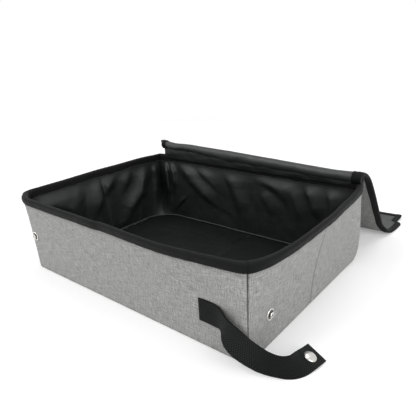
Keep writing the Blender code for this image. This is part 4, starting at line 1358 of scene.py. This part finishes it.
def build_studs():
    """The two studs that the cap snaps onto."""
    for name, (node, body, place) in STUDS.items():
        wall = WALLS[PANELS[body][0]]
        stud = turned("snap_stud_" + name, STUD_mm, 0.0, place, wall.across(wall.side), tone=STUD_SHADE_AND_HIGHLIGHT)
        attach(stud, body)
        dress(stud, "snap_metal", node)


build_strap()
build_studs()
# The eyelets stay as they are in the frame, and only get their metal
for eyelet in ("right_stud_eyelet", "left_stud_eyelet"):
    slots = nodes[eyelet].data.materials
    slots.clear()
    slots.append(NICKEL)


# Floor, light and camera

PAPER_GLOW = 0.26
PAPER_FADE = (0.75, 1.7)
PAPER_HALF, PAPER_DROP = 6, 0.0002
ROOM_LIGHT = 0.55
WHITE = (1, 1, 1, 1)


def seen_itself(g):
    """1 where the camera, a mirror or a clear piece shows the surface itself."""
    path = g.node("ShaderNodeLightPath").outputs
    seen = g.math("MAXIMUM", path["Is Camera Ray"], path["Is Glossy Ray"])
    return g.math("MAXIMUM", seen, path["Is Transmission Ray"])


def build_paper():
    """White paper under the box, which shows a soft shadow near it and fades to plain white."""
    mesh = bpy.data.meshes.new("studio_floor")
    corners = [(x * PAPER_HALF, y * PAPER_HALF, 0) for x, y in ((-1, -1), (1, -1), (1, 1), (-1, 1))]
    mesh.from_pydata(corners, [], [(0, 1, 2, 3)])
    ground = bpy.data.objects.new("studio_floor", mesh)
    ground.location.z = -PAPER_DROP
    bpy.context.scene.collection.objects.link(ground)
    g = Graph("studio_paper")
    at = g.place()
    grain = g.noise(at, scale=900.0)
    seen = seen_itself(g)
    reach = g.node("ShaderNodeVectorMath", "LENGTH", i0=at)
    far = g.node("ShaderNodeMapRange", i0=reach.outputs["Value"], i1=PAPER_FADE[0], i2=PAPER_FADE[1])
    far.interpolation_type = "SMOOTHSTEP"
    far = far.outputs[0]
    paper = g.times(g.math("SUBTRACT", 1.0, g.times(seen, far)), g.spread(grain, 0.995, 1.005))
    g.finish(g.shade((0.80, 0.80, 0.80), paper), 0.9, g.bump(grain, strength=0.02, distance=0.0001),
             Specular_IOR_Level=0.0)
    lit = g.times(seen, g.math("MULTIPLY_ADD", far, 1 - PAPER_GLOW, PAPER_GLOW))
    glow = g.node("ShaderNodeEmission", Color=WHITE, Strength=lit).outputs[0]
    both = g.node("ShaderNodeAddShader", i0=g.tree.nodes["Principled BSDF"].outputs[0], i1=glow)
    g.put(g.tree.nodes["Material Output"].inputs["Surface"], both.outputs[0])
    mesh.materials.append(g.owner)


def build_room():
    """Even light from all round, behind a plain white backdrop."""
    g = Graph("studio", bpy.data.worlds)
    bpy.context.scene.world = g.owner
    g.tree.nodes.clear()
    room, white = (g.node("ShaderNodeBackground", Color=WHITE, Strength=strength).outputs[0]
                   for strength in (ROOM_LIGHT, 1.0))
    mix = g.node("ShaderNodeMixShader", i0=seen_itself(g), i1=room, i2=white)
    g.node("ShaderNodeOutputWorld", Surface=mix.outputs[0])


# Lamps: place, what they light, size and power
LAMPS = {"key": ((-0.9, -1.5, 1.9), (0, 0, 0.05), 1.4, 26),
         "fill": ((1.9, -0.5, 1.2), (0, 0, 0.05), 1.4, 17),
         "top": ((0.1, 0.6, 2.3), (0, 0, 0.0), 1.2, 14)}


def build_lamps():
    """Soft round lamps."""
    for name, (place, target, size, power) in LAMPS.items():
        light = bpy.data.lights.new(name, "AREA")
        light.shape = "DISK"
        light.size = size
        light.energy = power
        lamp = bpy.data.objects.new(name, light)
        lamp.location = place
        lamp.rotation_euler = (Vector(target) - Vector(place)).to_track_quat("-Z", "Y").to_euler()
        bpy.context.scene.collection.objects.link(lamp)


# The photo's camera, fitted to the box's corners
CAMERA_PLACE = (0.392395, -0.429366, 0.307853)
CAMERA_YAW_angle = math.radians(-40.6339)
CAMERA_PITCH_angle = math.radians(25.9149)
CAMERA_ROLL_angle = math.radians(-3.4270)
CAMERA_LENS_mm = 36.27
CAMERA_SENSOR_mm = 36
CAMERA_SHIFT = (0.0119, 0.0979)
CAMERA_CLIP = 0.01


def build_camera():
    """The camera that shows the box as in the photo."""
    level = math.cos(CAMERA_PITCH_angle)
    ahead = Vector((math.sin(CAMERA_YAW_angle) * level, math.cos(CAMERA_YAW_angle) * level,
                    -math.sin(CAMERA_PITCH_angle)))
    flat_right = ahead.cross(Vector((0, 0, 1))).normalized()
    flat_up = flat_right.cross(ahead)
    turn, tip = math.cos(CAMERA_ROLL_angle), math.sin(CAMERA_ROLL_angle)
    right, upward = turn * flat_right + tip * flat_up, turn * flat_up - tip * flat_right
    lens = bpy.data.cameras.new("photo_camera")
    lens.sensor_width = CAMERA_SENSOR_mm
    lens.lens = CAMERA_LENS_mm
    lens.shift_x, lens.shift_y = CAMERA_SHIFT
    lens.clip_start = CAMERA_CLIP
    camera = bpy.data.objects.new("photo_camera", lens)
    aimed = Matrix((right, upward, -ahead)).transposed().to_4x4()
    camera.matrix_world = Matrix.Translation(CAMERA_PLACE) @ aimed
    bpy.context.scene.collection.objects.link(camera)
    bpy.context.scene.camera = camera


build_paper()
build_room()
build_lamps()
build_camera()
bpy.context.scene.view_settings.view_transform = "Standard"
